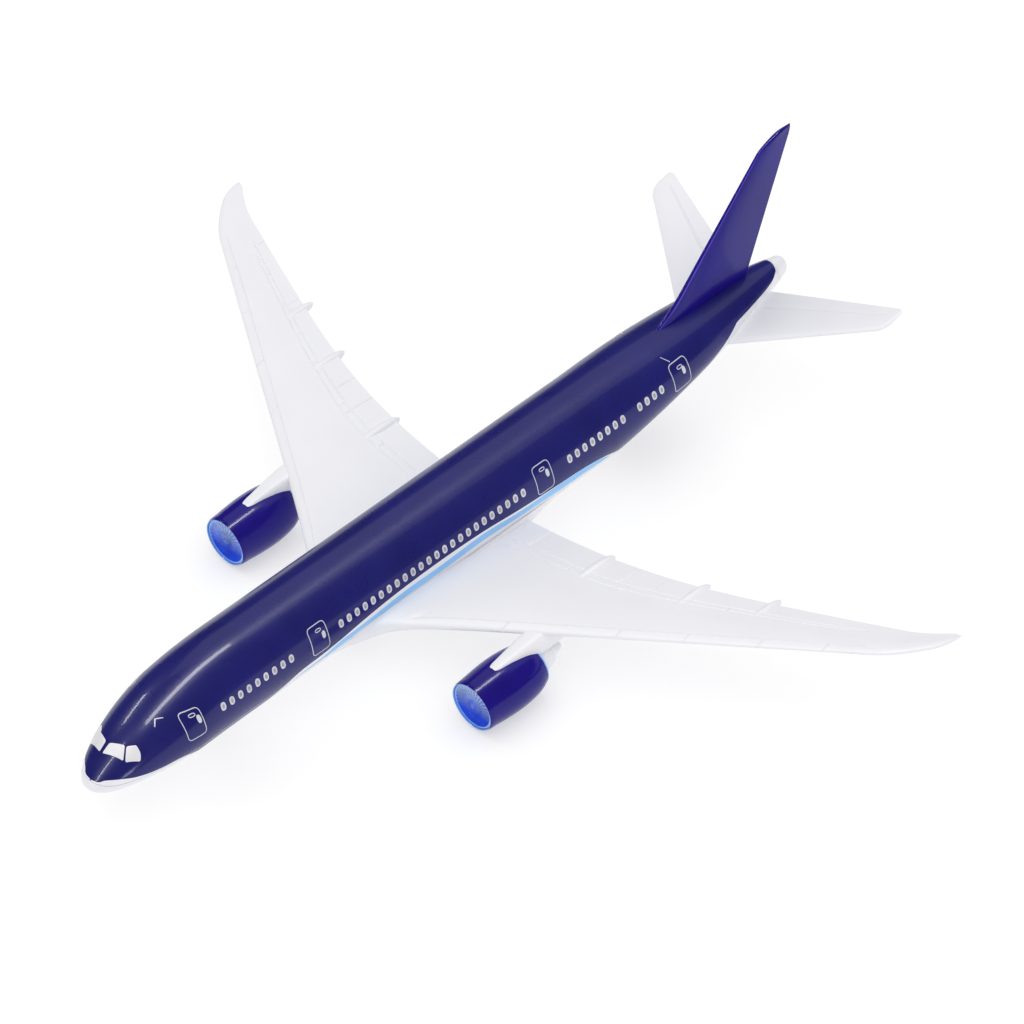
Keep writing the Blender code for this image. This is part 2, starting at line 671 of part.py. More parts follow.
def engine(side_name, side):
    place = engine_place(side)
    cowl = turned(side_name + "_nacelle_cowl", COWL_OUTER + COWL_INNER, place, PARTS, closed=True, steps=28)
    finish(cowl, material(side_name + "_cowl_blue", VIOLET_BLUE, 0.18, 0.2))
    fan = turned(side_name + "_fan_disc", FAN_PROFILE, place, PARTS, steps=24)
    finish(fan, material(side_name + "_fan_blue", FAN_BLUE, 0.4))
    core = turned(side_name + "_exhaust_core", CORE_PROFILE, place, PARTS, steps=20)
    cut(core, WING_CLEARANCE)
    finish(core, material(side_name + "_core_white", WHITE, 0.4))
    pylon(side_name, side)


def engine_clearance(side_name, side):
    """The nacelle without its bore, and the exhaust core, both grown by the gap."""
    grown = [(radius + GAP, y) for radius, y in COWL_OUTER]
    skin = [(0, grown[0][1] - GAP)] + grown + [(0, grown[-1][1] + GAP)]
    plug = [(0, CORE_PROFILE[0][1])] + [(radius + GAP, y) for radius, y in CORE_PROFILE[1:-1]]
    plug += [(0, CORE_PROFILE[-1][1] + GAP)]
    place = engine_place(side)
    return (turned(side_name + "_cowl_clearance", skin, place, CUTTERS, steps=28),
            turned(side_name + "_core_clearance", plug, place, CUTTERS, steps=20))


def wing_clearance():
    both = wing_solid("wing_clearance", GAP)
    mirror = both.modifiers.new("both_sides", "MIRROR")
    mirror.use_axis = (True, False, False)
    return both


# ---------------------------------------------------------------- build

clear_scene()
PARTS = new_collection("desktop_airliner_model")
CUTTERS = new_collection("cutters")

CAVITY = fuselage_cavity()
HOLES = [screw_hole(y, head_level) for _, y, head_level in SCREWS]
FIN_SOCKET = fin_socket()
TAIL_SOCKETS = [stabiliser_tab("port_tab_socket", 1, GAP), stabiliser_tab("starboard_tab_socket", -1, GAP)]
LOWER_CLEARANCE = upper_region("lower_clearance", GAP)
FUSELAGE_CLEARANCE = fuselage_solid("fuselage_clearance", GAP, 28, CUTTERS)
WING_SEAT = wing_seat()
WING_CLEARANCE = wing_clearance()
ENGINE_CLEARANCE = {1: engine_clearance("port", 1), -1: engine_clearance("starboard", -1)}

upper_shell()
belly_shell("forward_belly_shell", NOSE_Y - CLEAR, FAIRING_Y[0], "nose_screw")
belly_shell("aft_belly_shell", FAIRING_Y[1], TAIL_Y + CLEAR, "tail_screw")
wing_piece()
stand_socket()
fin()
stabiliser("port_stabiliser", 1)
stabiliser("starboard_stabiliser", -1)
engine("port", 1)
engine("starboard", -1)
steel = material("screw_steel", STEEL, 0.3, 1.0)
for screw_name, screw_y, head_level in SCREWS:
    finish(screw(screw_name, screw_y, head_level), steel)
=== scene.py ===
"""Desktop airliner model: the visible model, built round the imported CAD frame.

Lengths are millimetres in this script, and meshes are made in metres. +X is port, +Y is aft and
+Z is up. "Level" is a height above or below the fuselage axis.
"""

import json
import math

import bmesh
import bpy
import numpy as np
from mathutils import Matrix, Vector

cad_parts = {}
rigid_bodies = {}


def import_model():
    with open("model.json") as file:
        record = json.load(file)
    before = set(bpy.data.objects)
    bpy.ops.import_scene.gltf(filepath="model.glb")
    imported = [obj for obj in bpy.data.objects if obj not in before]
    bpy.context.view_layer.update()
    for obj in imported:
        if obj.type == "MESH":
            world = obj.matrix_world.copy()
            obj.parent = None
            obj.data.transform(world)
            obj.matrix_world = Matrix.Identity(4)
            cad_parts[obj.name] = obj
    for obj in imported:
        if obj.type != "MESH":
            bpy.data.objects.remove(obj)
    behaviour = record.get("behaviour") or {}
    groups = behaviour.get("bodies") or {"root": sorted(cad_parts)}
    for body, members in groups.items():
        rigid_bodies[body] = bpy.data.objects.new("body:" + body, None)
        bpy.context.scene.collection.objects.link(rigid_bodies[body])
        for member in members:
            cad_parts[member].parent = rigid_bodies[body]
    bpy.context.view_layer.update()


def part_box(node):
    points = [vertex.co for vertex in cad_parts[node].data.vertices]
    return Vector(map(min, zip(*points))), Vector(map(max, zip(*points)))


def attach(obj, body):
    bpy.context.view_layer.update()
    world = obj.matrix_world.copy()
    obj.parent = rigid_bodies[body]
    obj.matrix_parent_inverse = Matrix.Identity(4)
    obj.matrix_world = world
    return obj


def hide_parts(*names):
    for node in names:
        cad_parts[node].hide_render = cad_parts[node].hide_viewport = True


for old in list(bpy.data.objects):
    bpy.data.objects.remove(old, do_unlink=True)

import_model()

MM = 0.001


def mm_box(node):
    low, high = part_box(node)
    return [v / MM for v in low], [v / MM for v in high]


# Places read from the frame
COWL_LOW, COWL_HIGH = mm_box("port_nacelle_cowl")
ENGINE_LEVEL = -8.1
ENGINE_X = (COWL_LOW[0] + COWL_HIGH[0]) / 2
AXIS_Z = (COWL_LOW[2] + COWL_HIGH[2]) / 2 - ENGINE_LEVEL
NOSE_SETBACK = 0.05  # from the tip of the nose curve to the first station
NOSE_Y = mm_box("forward_belly_shell")[0][1] - NOSE_SETBACK
TAIL_Y = mm_box("aft_belly_shell")[1][1]
HALF_SPAN = mm_box("wing_and_belly_fairing")[1][0]
FIN_TOP_LEVEL = mm_box("vertical_fin")[1][2] - AXIS_Z
STABILISER_TIP_X = mm_box("port_stabiliser")[1][0]
SOCKET_FACE = mm_box("stand_socket")[0][2]

# Fuselage. Nose curves are (length, power, root), tapers run from their start to the tail
RADIUS = 7.85
NOSE_TIP_LEVEL = -4.2
NOSE_TOP = (31.2, 2.2, 1.2)
NOSE_BOTTOM = (17.9, 1.05, 2.18)
NOSE_WIDTH = (18.7, 1.5, 2.245)
TAPER_TOP_Y = 32.0
TAPER_BOTTOM_Y = 30.3
TAPER_POWERS = (2.17, 1.05, 2.2)  # top, bottom and sides
TAIL_END_TOP = 4.8
TAIL_END_BOTTOM = 1.7
TAIL_END_HALF_WIDTH = 1.3
SEAM = 0.1  # visible gap between mouldings
PART_LINE = ((-100, -3.15), (34.5, -3.15), (55.0, 1.0), (60.5, 3.6), (69.5, 3.8), (71.6, 4.0),
             (73.2, 4.6), (73.9, 5.6))
FAIRING_Y = (-33.0, 18.0)
FAIRING_SWELL = 1.1
FAIRING_BLEND = 2.2  # how fast the ends change from the body's round to the fairing's own section
FAIRING_DEPTH = -9.4
FAIRING_PROUD = 0.7
FAIRING_SQUARENESS = 0.75
FAIRING_STEPS = 56
SEAT_LIFT = 0.03
SEAM_SHARP = 34

# Livery lines on the fuselage side: (y, level)
NAVY_EDGE = ((-80, -3.2), (-78.8, -2.9), (-78.1, -2.5), (-76.4, -2.3), (-74.4, -2.55),
             (-71.9, -2.85), (-69.4, -3.0), (-66, -3.1), (-63, -4.2), (-60, -5.5), (-55, -6),
             (-50, -5.5), (-47, -4.4), (-45, -3.5), (-41, -2.1), (-36.2, -1.7), (-31.8, -1.15),
             (-27.4, -0.45), (-22, 0.15), (-18.5, 0.38), (-9.7, 0.6), (-0.8, 0.4), (8, -0.4),
             (16.9, -1.0), (21.3, -1.25), (25.8, -1.9), (29, -2.9), (32, -4.4), (35, -6.3),
             (40, -7.0), (46, -5), (52, -1), (55, 1))
STRIPE_TOP = ((-100, -4), (-44, -4), (-41, -3.1), (-36, -2.5), (-32, -1.5), (-27, -1.2),
              (-18.5, -0.45), (-10, -0.4), (-1, -0.1), (8, -0.9), (17, -1.05), (21.3, -1.3),
              (25.8, -1.95), (29, -3.2), (32, -4), (100, -4))
STRIPE_BOTTOM = ((-100, -4), (-44, -3.3), (-36, -3.1), (-31.8, -2.95), (-27.4, -2.5), (-18.5, -2.0),
                 (-9.7, -1.95), (-0.8, -1.6), (8, -2.2), (16.9, -2.8), (21.3, -2.9), (25.8, -3.05),
                 (29, -3.4), (100, -4))

# Wing: straight edges, a softened trailing kink, root swellings of (size, start, fade), a raked tip
WING_ROOT_X = 4.0
LEADING_ROOT_Y = -27.94
LEADING_SLOPE = 0.6175
TRAILING_ROOT_Y = 9.5
TRAILING_BASE_Y = -3.0
TRAILING_SLOPE = 0.385
TRAILING_BLEND = 3.4
ROOT_FILLET = (1.3, 8.5, 5.0)
ROOT_STRAKE = (5.0, 7.2, 1.4)
RAKE_X = 75.6
RAKE = 0.057
RAKE_TRAILING = 0.034
WING_ROOT_LEVEL = -4.55
DIHEDRAL = 0.0945
ROOT_DROOP = 0.7
DROOP_FADE = 28
WING_THICKNESS = 0.088
WING_LEAST = 0.85
TIP_THICKNESS = 0.6
TIP_THIN = 8  # span over which the wing thins to the tip
TIP_ROUND = 1.6
TIP_POWER = 0.7
TIP_SHIFT = 1.1  # how far aft the rounded tip ends
FLAP_FAIRINGS = ((25.2, 11.9, 11.0, 1.5), (42.7, 16.1, 10.0, 1.3), (54.6, 20.2, 8.5, 1.15))
FLAP_FAIRING_DROP = 0.45
FLAP_FAIRING_FULLNESS = 2.4
FLAP_FAIRING_SQUASH = (0.78, 0.8)
SLAT_LINE = (1.85, 11, 76)  # distance from the edge, then the span it covers
SPOILER_LINE = (0.31, 6.4, 9, 69)  # chord share, greatest distance from the edge, span it covers
HINGE_LINE = (0.235, 4.8, 9, 72)
GROOVE_WIDTH = 0.34
GROOVE_DEPTH = 0.13

# Tail surfaces
FIN_BASE_LEVEL = 3.0
FIN_KNEE = (53.5, 11.93)
FIN_SWEEP = 1.083
FIN_DORSAL = 0.021
FIN_TRAILING = (68.3, 7.0, 0.508)
FIN_THICKNESS = 1.9
FIN_THINNING = 0.55
FIN_ROUNDING = (29, 0.85, 0.12)  # start level, how far the front and the back draw in
FIN_TIP = 0.5
STABILISER_ROOT_X = 11.2
STABILISER_LEADING = (61.5, 0.725)
STABILISER_TRAILING = (73.5, 0.335)
STABILISER_REF_X = 14.0
STABILISER_LEVELS = (3.0, 4.9)
STABILISER_DIHEDRALS = (0.245, 0.19)
STABILISER_THICKNESS = 1.6
STABILISER_THINNING = 0.5
STABILISER_ROUNDING = (26.0, 1.0, 0.6)
STABILISER_TIP = 0.6
STABILISER_HINGE = 0.7
STABILISER_GROOVE = (0.15, 0.1, 6, 25)  # half width, depth, and the span it covers

# Engines
COWL_OUTER = ((4.32, -24.4), (4.46, -24.1), (4.58, -22.8), (4.82, -19.8), (4.9, -17.6),
              (4.82, -15.4), (4.4, -12.6), (3.7, -10.8))
COWL_INNER = ((3.3, -10.8), (3.3, -20.0), (4.27, -21.5), (4.24, -23.8), (4.2, -24.3))
CORE_OUTLINE = ((2.5, -12.4), (2.5, -10.6), (2.15, -8.6), (1.6, -7.2), (1.1, -6.6), (0.5, -4.9),
                (0.05, -4.6))
RIM_REACH = (0.7, 0.18)  # how far the light rim reaches in from the cowl's front and back
FAN_FACE_Y = -24.05
FAN_RADIUS = 4.15
FAN_BLADES = 30
FAN_BACK_Y = -22.2
BLADE_ROOT, BLADE_TIP = 0.46, 3.8
FAN_RADII = (0.02, 0.12, 0.22, 0.32, 0.4, BLADE_ROOT, 0.6, 1.1, 1.7, 2.3, 2.9, 3.4, BLADE_TIP, 3.86,
             FAN_RADIUS - 0.06)

SCREWS = (("nose_screw", -52.0, -6.6), ("wing_front_screw", -22.0, -8.0),
          ("wing_rear_screw", 11.0, -8.0), ("tail_screw", 37.0, -5.2))
SCREW_HEAD_RADIUS = 1.7
SCREW_HEAD_HEIGHT = 1.2
SCREW_RADIUS = 0.9
SCREW_TIP_LEVEL = 3.0
SCREW_TURNS = 9
SCREW_DOME = 0.45
SOCKET_Y = -3.0
SOCKET_RECESS = (4.4, 1.1)  # radius and depth of the flat round it in the fairing
SOCKET_PROFILE = ((0, 4.6), (2.9, 4.6), (2.9, 0.8), (4.1, 0.8), (4.2, 0.7), (4.2, 0.12), (4.08, 0),
                  (1.7, 0), (1.5, 0.2), (1.5, 3.6), (0, 3.7))  # (radius, height over its face)
HOLE_CLEARANCE = (0.15, 0.2, 0.05)  # round the screw's shank, round its head and under the head


# ---------------------------------------------------------------- materials


def paint(name, colour, roughness, metallic=0.0, coat=0.0, grain=900.0, bump=0.05, vary=0.06,
          specular=0.5, flake=0.0):
    """A moulded or painted surface: soft colour mottling, uneven gloss and a fine orange peel.
    Grain is the peel's scale, vary the depth of the mottling and flake adds fine bright points."""
    made = bpy.data.materials.new(name)
    made.use_nodes = True
    tree = made.node_tree
    shader = tree.nodes["Principled BSDF"]
    where = tree.nodes.new("ShaderNodeTexCoord")
    mottle = noise(tree, where, grain * 0.12, 4.0)
    spots = noise(tree, where, grain * 6.0, 2.0)
    share = maths(tree, "MULTIPLY_ADD", spots.outputs["Fac"], flake, mottle.outputs["Fac"])
    ramp = tree.nodes.new("ShaderNodeValToRGB")
    ramp.color_ramp.elements[0].position = 0.3
    ramp.color_ramp.elements[1].position = 0.7 + flake
    ramp.color_ramp.elements[0].color = (*[v * (1 - vary) for v in colour], 1)
    ramp.color_ramp.elements[1].color = (*[min(v * (1 + vary), 1.0) for v in colour], 1)
    tree.links.new(share, ramp.inputs[0])
    tree.links.new(ramp.outputs[0], shader.inputs["Base Color"])
    gloss = tree.nodes.new("ShaderNodeMapRange")
    gloss.inputs["To Min"].default_value = roughness * 0.8
    gloss.inputs["To Max"].default_value = roughness * 1.25
    tree.links.new(noise(tree, where, grain * 0.4, 3.0).outputs["Fac"], gloss.inputs["Value"])
    tree.links.new(gloss.outputs[0], shader.inputs["Roughness"])
    peel = tree.nodes.new("ShaderNodeBump")
    peel.inputs["Strength"].default_value = bump
    peel.inputs["Distance"].default_value = 0.0002
    tree.links.new(noise(tree, where, grain, 2.0).outputs["Fac"], peel.inputs["Height"])
    tree.links.new(peel.outputs[0], shader.inputs["Normal"])
    shader.inputs["Metallic"].default_value = metallic
    shader.inputs["Coat Weight"].default_value = coat
    shader.inputs["Coat Roughness"].default_value = 0.06
    shader.inputs["Specular IOR Level"].default_value = specular
    return made


def noise(tree, where, scale, detail):
    made = tree.nodes.new("ShaderNodeTexNoise")
    made.inputs["Scale"].default_value = scale
    made.inputs["Detail"].default_value = detail
    tree.links.new(where.outputs["Object"], made.inputs["Vector"])
    return made


def maths(tree, operation, *values):
    """A maths node over sockets or numbers."""
    made = tree.nodes.new("ShaderNodeMath")
    made.operation = operation
    for socket, value in zip(made.inputs, values):
        if isinstance(value, bpy.types.NodeSocket):
            tree.links.new(value, socket)
        else:
            socket.default_value = value
    return made.outputs[0]


NAVY = paint("navy_gloss", (0.0125, 0.0125, 0.145), 0.28, coat=0.25, bump=0.02, vary=0.1,
             specular=0.22)
VIOLET = paint("violet_blue_gloss", (0.013, 0.006, 0.200), 0.22, coat=0.2, vary=0.14, flake=0.12,
               specular=0.15)
# Painted highlight: a lighter violet that stands in for the lights' reflection along the fin's leading
# edge
FIN_EDGE_HIGHLIGHT = paint("painted_highlight_violet", (0.085, 0.055, 0.50), 0.25, coat=0.2, vary=0.25, grain=2600,
                    specular=0.2)
WHITE = paint("white_skin", (0.84, 0.84, 0.89), 0.38, coat=0.15, grain=700, bump=0.04, vary=0.012)
WING_WHITE = paint("white_moulding", (0.86, 0.86, 0.90), 0.45, grain=650, bump=0.06, vary=0.015)
SKY = paint("light_blue_stripe", (0.30, 0.59, 1.0), 0.45, vary=0.06, specular=0.25)
SILVER = paint("silver_print", (0.66, 0.66, 0.73), 0.42, 0.1, vary=0.1, grain=2500)
GREY = paint("grey_print", (0.36, 0.36, 0.40), 0.5, 0.1, vary=0.16, grain=3000)
PANE = paint("pane_print", (0.80, 0.79, 0.81), 0.45, 0.1, vary=0.08, grain=2200, specular=0.2)
RIM = paint("rim_blue", (0.20, 0.42, 0.95), 0.3, 0.1, 0.3, vary=0.12, grain=1800)
STEEL = paint("screw_steel_brushed", (0.55, 0.55, 0.56), 0.32, 1.0, vary=0.1, grain=2400, bump=0.1)
SOCKET_STEEL = paint("socket_steel_brushed", (0.48, 0.48, 0.50), 0.38, 1.0, vary=0.1, grain=2400,
                     bump=0.12)


def fan_material():
    """Fan face: pale cyan at the crown and deep blue low down, in fine radial streaks."""
    made = paint("fan_cyan", (0.004, 0.05, 0.62), 0.5, vary=0.3, grain=2600, bump=0.1, specular=0.12)
    tree = made.node_tree
    shader = tree.nodes["Principled BSDF"]
    base = shader.inputs["Base Color"].links[0].from_socket
    where = tree.nodes["Texture Coordinate"]
    split = tree.nodes.new("ShaderNodeSeparateXYZ")
    tree.links.new(where.outputs["Object"], split.inputs[0])
    out = maths(tree, "SUBTRACT", maths(tree, "ABSOLUTE", split.outputs["X"]), ENGINE_X * MM)
    up = maths(tree, "SUBTRACT", split.outputs["Z"], (AXIS_Z + ENGINE_LEVEL) * MM)
    turn = maths(tree, "MULTIPLY", maths(tree, "ARCTAN2", out, up), float(FAN_BLADES))
    rays = maths(tree, "MULTIPLY_ADD", maths(tree, "SINE", turn), 0.3, 0.7)
    height = tree.nodes.new("ShaderNodeMapRange")
    height.inputs["From Min"].default_value = -1.8 * MM
    height.inputs["From Max"].default_value = 3.0 * MM
    tree.links.new(up, height.inputs["Value"])
    speckle = tree.nodes.new("ShaderNodeMapRange")
    speckle.inputs["From Min"].default_value = 0.3
    speckle.inputs["From Max"].default_value = 0.6
    speckle.inputs["To Min"].default_value = 0.45
    tree.links.new(noise(tree, where, 3200.0, 3.0).outputs["Fac"], speckle.inputs["Value"])
    share = maths(tree, "MULTIPLY", maths(tree, "MULTIPLY", height.outputs[0], speckle.outputs[0]), rays)
    mix = tree.nodes.new("ShaderNodeMix")
    mix.data_type = "RGBA"
    tree.links.new(share, mix.inputs["Factor"])
    tree.links.new(base, mix.inputs["A"])
    mix.inputs["B"].default_value = (0.50, 0.66, 0.74, 1)
    tree.links.new(mix.outputs["Result"], shader.inputs["Base Color"])
    return made


FAN = fan_material()


# ---------------------------------------------------------------- mesh helpers


def smooth_curve(points, at):
    """A smooth line through (a, b) points: cubic pieces with finite-difference slopes."""
    a = np.array([p[0] for p in points], float)
    b = np.array([p[1] for p in points], float)
    rise = np.diff(b) / np.diff(a)
    slope = np.concatenate([[rise[0]], (rise[1:] + rise[:-1]) / 2, [rise[-1]]])
    slope[1:-1][rise[1:] * rise[:-1] <= 0] = 0.0
    i = int(np.clip(np.searchsorted(a, at) - 1, 0, len(a) - 2))
    span = a[i + 1] - a[i]
    t = min(max((at - a[i]) / span, 0.0), 1.0)
    return float(b[i] * (2 * t**3 - 3 * t**2 + 1) + slope[i] * span * (t**3 - 2 * t**2 + t)
                 + b[i + 1] * (3 * t**2 - 2 * t**3) + slope[i + 1] * span * (t**3 - t**2))


def blend_points(points, times):
    """Points along a rounded line through a profile of (radius, y), many per leg."""
    sums = np.concatenate([[0], np.cumsum(np.linalg.norm(np.diff(np.array(points), axis=0), axis=1))])
    first = list(zip(sums, [p[0] for p in points]))
    second = list(zip(sums, [p[1] for p in points]))
    return [(smooth_curve(first, s), smooth_curve(second, s)) for s in np.linspace(0, sums[-1], times)]


# Metres within which points become one: on mouldings, on broad prints and on narrow prints
WELD, WIDE_WELD, PRINT_WELD = 0.000002, 0.0000005, 0.0000002


def make(name, vertices, faces, materials, picks=None, sharp=38, weld=WELD):
    """An object from points in millimetres. picks gives each face's material."""
    shape = bmesh.new()
    points = [shape.verts.new(Vector(v) * MM) for v in vertices]
    for i, face in enumerate(faces):
        made = shape.faces.new([points[j] for j in face])
        made.material_index = picks[i] if picks else 0
    bmesh.ops.remove_doubles(shape, verts=shape.verts, dist=weld)
    bmesh.ops.dissolve_degenerate(shape, edges=shape.edges, dist=weld)
    bmesh.ops.recalc_face_normals(shape, faces=shape.faces)
    mesh = bpy.data.meshes.new(name)
    shape.to_mesh(mesh)
    shape.free()
    obj = bpy.data.objects.new(name, mesh)
    bpy.context.scene.collection.objects.link(obj)
    for material in materials:
        mesh.materials.append(material)
    smooth(obj, sharp)
    return obj


def smooth(obj, sharp):
    obj.data.shade_smooth()
    obj.data.set_sharp_from_angle(angle=math.radians(sharp))


def append_rows(vertices, faces, rows, loop=False, closed=True):
    """Adds a skin over rows of points. With loop the last row joins the first, and with closed
    each row's last point joins its first."""
    start, count = len(vertices), len(rows[0])
    for row in rows:
        vertices.extend(row)
    for i in range(len(rows) if loop else len(rows) - 1):
        for j in range(count if closed else count - 1):
            near, far, k = start + i * count, start + (i + 1) % len(rows) * count, (j + 1) % count
            faces.append((near + j, near + k, far + k, far + j))


def loft(name, rings, materials, pick=None, sharp=38):
    """A closed solid through rings of points. pick(i, j) gives the material of a face."""
    vertices, faces = [], []
    append_rows(vertices, faces, rings)
    last, count = len(rings) - 1, len(rings[0])
    picks = [pick(i, j) if pick else 0 for i in range(last) for j in range(count)] + [0, 0]
    faces.append(tuple(range(count))[::-1])
    faces.append(tuple(last * count + j for j in range(count)))
    return make(name, vertices, faces, materials, picks, sharp)


def turned(name, profile, place, materials, steps=72, sharp=38, pick=None, upright=False):
    """Turns a closed or axis-ended profile of (radius, along) about Y, or about Z if upright."""
    closed = profile[0][0] > 0.01
    rings = []
    for k in range(steps):
        turn = 2 * math.pi * (k + (0.0 if upright else 0.5)) / steps
        c, s = math.cos(turn), math.sin(turn)
        if upright:
            rings.append([(place[0] + r * c, place[1] + r * s, a) for r, a in profile])
        else:
            rings.append([(place[0] + r * c, a, place[2] + r * s) for r, a in profile])
    vertices, faces = [], []
    append_rows(vertices, faces, rings, loop=True, closed=closed)
    across = len(faces) // steps
    picks = [pick(j) if pick else 0 for _ in range(steps) for j in range(across)]
    return make(name, vertices, faces, materials, picks, sharp)


def applied(obj, sharp):
    """The object with its modifiers applied to its mesh."""
    bpy.context.view_layer.update()
    graph = bpy.context.evaluated_depsgraph_get()
    mesh = bpy.data.meshes.new_from_object(obj.evaluated_get(graph))
    obj.modifiers.clear()
    obj.data = mesh
    smooth(obj, sharp)
    return obj


def combine(obj, other, operation):
    step = obj.modifiers.new(other.name, "BOOLEAN")
    step.operation = operation
    step.object = other
    step.solver = "EXACT"
    return other


def drop(*objs):
    for obj in objs:
        bpy.data.objects.remove(obj, do_unlink=True)


def between(low, high, count, power=1.0):
    return [low + (high - low) * (i / (count - 1)) ** power for i in range(count)]


def place(obj, slot, *nodes):
    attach(obj, "root")
    if nodes:
        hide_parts(*nodes)
    return obj


# ---------------------------------------------------------------- fuselage


def nose_rise(y, length, curve, root):
    left = min(max(1.0 - (y - NOSE_Y) / length, 0.0), 1.0)
    return (1.0 - left**curve) ** (1.0 / root)


def taper(y, start, power):
    return min(max((y - start) / (TAIL_Y - start), 0.0), 1.0) ** power


def fuselage_lines(y):
    """Top level, bottom level and half width of the fuselage at y."""
    top = NOSE_TIP_LEVEL + (RADIUS - NOSE_TIP_LEVEL) * nose_rise(y, *NOSE_TOP)
    bottom = NOSE_TIP_LEVEL - (RADIUS + NOSE_TIP_LEVEL) * nose_rise(y, *NOSE_BOTTOM)
    half_width = RADIUS * nose_rise(y, *NOSE_WIDTH)
    top -= (RADIUS - TAIL_END_TOP) * taper(y, TAPER_TOP_Y, TAPER_POWERS[0])
    bottom += (RADIUS + TAIL_END_BOTTOM) * taper(y, TAPER_BOTTOM_Y, TAPER_POWERS[1])
    half_width -= (RADIUS - TAIL_END_HALF_WIDTH) * taper(y, TAPER_TOP_Y, TAPER_POWERS[2])
    cap = TAIL_END_HALF_WIDTH
    closing = math.sqrt(max(1.0 - (max(y - TAIL_Y + cap, 0.0) / cap) ** 2, 0.0004))
    middle = (top + bottom) / 2
    return middle + (top - middle) * closing, middle - (middle - bottom) * closing, half_width * closing


def skin(y, turn, lift=0.0):
    """A point on the fuselage at an angle from the port side, lifted off the surface."""
    top, bottom, half_width = fuselage_lines(y)
    half_height = (top - bottom) / 2
    x, z = half_width * math.cos(turn), half_height * math.sin(turn)
    normal = Vector((math.cos(turn) * half_height, math.sin(turn) * half_width)).normalized()
    return (x + normal.x * lift, y, AXIS_Z + (top + bottom) / 2 + z + normal.y * lift)


def turn_at(y, level):
    """The angle at which the port side reaches a level, from -90 to 90 degrees."""
    top, bottom, _ = fuselage_lines(y)
    return math.asin(min(max((level - (top + bottom) / 2) / ((top - bottom) / 2), -1.0), 1.0))


def part_level(y):
    return float(np.interp(y, [p[0] for p in PART_LINE], [p[1] for p in PART_LINE]))


def nose_stations():
    return [NOSE_Y + step for step in between(0.055, 34.0, 64, 2.0)]


BANDS = (2, 5, 4, 30)  # faces in each livery band of a side, from the seam to the crown


def navy_level(y):
    return smooth_curve(NAVY_EDGE, y) if y < NAVY_EDGE[-1][0] else part_level(y)


def inside_edge(ring):
    """A ring with points added along the chord that closes it."""
    a, b = ring[-1], ring[0]
    return ring + [tuple(np.add(a, np.multiply(np.subtract(b, a), i / 6))) for i in range(1, 6)]


def upper_ring(y):
    """Round the upper skin from the port seam over the crown to the starboard seam, and back."""
    part = part_level(y)
    low = max(smooth_curve(STRIPE_BOTTOM, y), part)
    high = max(smooth_curve(STRIPE_TOP, y), low)
    navy = max(navy_level(y), high)
    marks = [turn_at(y, level) for level in (part, low, high, navy)] + [math.pi / 2]
    turns = []
    for near, far, count in zip(marks, marks[1:], BANDS):
        turns += [near + (far - near) * i / count for i in range(count)]
    turns.append(math.pi / 2)
    turns += [math.pi - t for t in turns[-2::-1]]
    return inside_edge([skin(y, t) for t in turns])


def upper_pick(_, j):
    """0 navy, 1 white, 2 light blue."""
    side = sum(BANDS)
    j = j if j < side else 2 * side - 1 - j
    if BANDS[0] <= j < BANDS[0] + BANDS[1]:
        return 2
    return 1 if j < sum(BANDS[:3]) else 0


def upper_skin():
    part = PART_LINE[0][1]
    start = next(y for y in between(NOSE_Y, NOSE_Y + 6, 6001) if fuselage_lines(y)[0] > part)
    finish = next(y for y in between(72, 75, 3001) if fuselage_lines(y)[0] < part_level(y))
    stations = [start + 0.004] + [y for y in nose_stations() if y > start + 0.02]
    stations += between(-45.4, 31.6, 78) + between(32.2, 72.6, 60)
    stations += between(72.7, finish - 0.004, 14, 0.6)
    return loft("fuselage_upper_skin", [upper_ring(y) for y in stations], [NAVY, WHITE, SKY],
                upper_pick, SEAM_SHARP)


BELLY_NAVY = 8  # faces on each side of a belly ring that the navy can reach down over
BELLY_WHITE = 44


def belly_ring(y):
    """Round the belly from the port seam to the starboard seam, and back."""
    edge = turn_at(y, part_level(y) - SEAM)
    navy = min(turn_at(y, navy_level(y)), edge)
    turns = [edge + (navy - edge) * i / BELLY_NAVY for i in range(BELLY_NAVY)]
    white = [navy - (math.pi + 2 * navy) * i / BELLY_WHITE for i in range(BELLY_WHITE + 1)]
    turns += white + [-math.pi - t for t in turns[::-1]]
    return inside_edge([skin(y, t) for t in turns])


def belly_pick(_, j):
    """0 white, 1 navy."""
    count = 2 * BELLY_NAVY + BELLY_WHITE
    return 1 if j < BELLY_NAVY or BELLY_NAVY + BELLY_WHITE <= j < count else 0


def hole_cutter(y, head_level):
    shank = SCREW_RADIUS + HOLE_CLEARANCE[0]
    head = SCREW_HEAD_RADIUS + HOLE_CLEARANCE[1]
    seat = AXIS_Z + head_level + SCREW_HEAD_HEIGHT + HOLE_CLEARANCE[2]
    top = AXIS_Z + SCREW_TIP_LEVEL + 0.2
    profile = [(0, top), (shank, top), (shank, seat), (head, seat), (head, -5.0), (0, -5.0)]
    return turned("hole", profile, (0, y, 0), [WHITE], 48, upright=True)


def belly(name, node, stations, screw):
    obj = loft(name, [belly_ring(y) for y in stations], [WHITE, NAVY], belly_pick, SEAM_SHARP)
    _, y, level = screw
    hole = hole_cutter(y, level)
    combine(obj, hole, "DIFFERENCE")
    applied(obj, SEAM_SHARP)
    drop(hole)
    return place(obj, "white_paint", node)


# ---------------------------------------------------------------- printed details on the skin


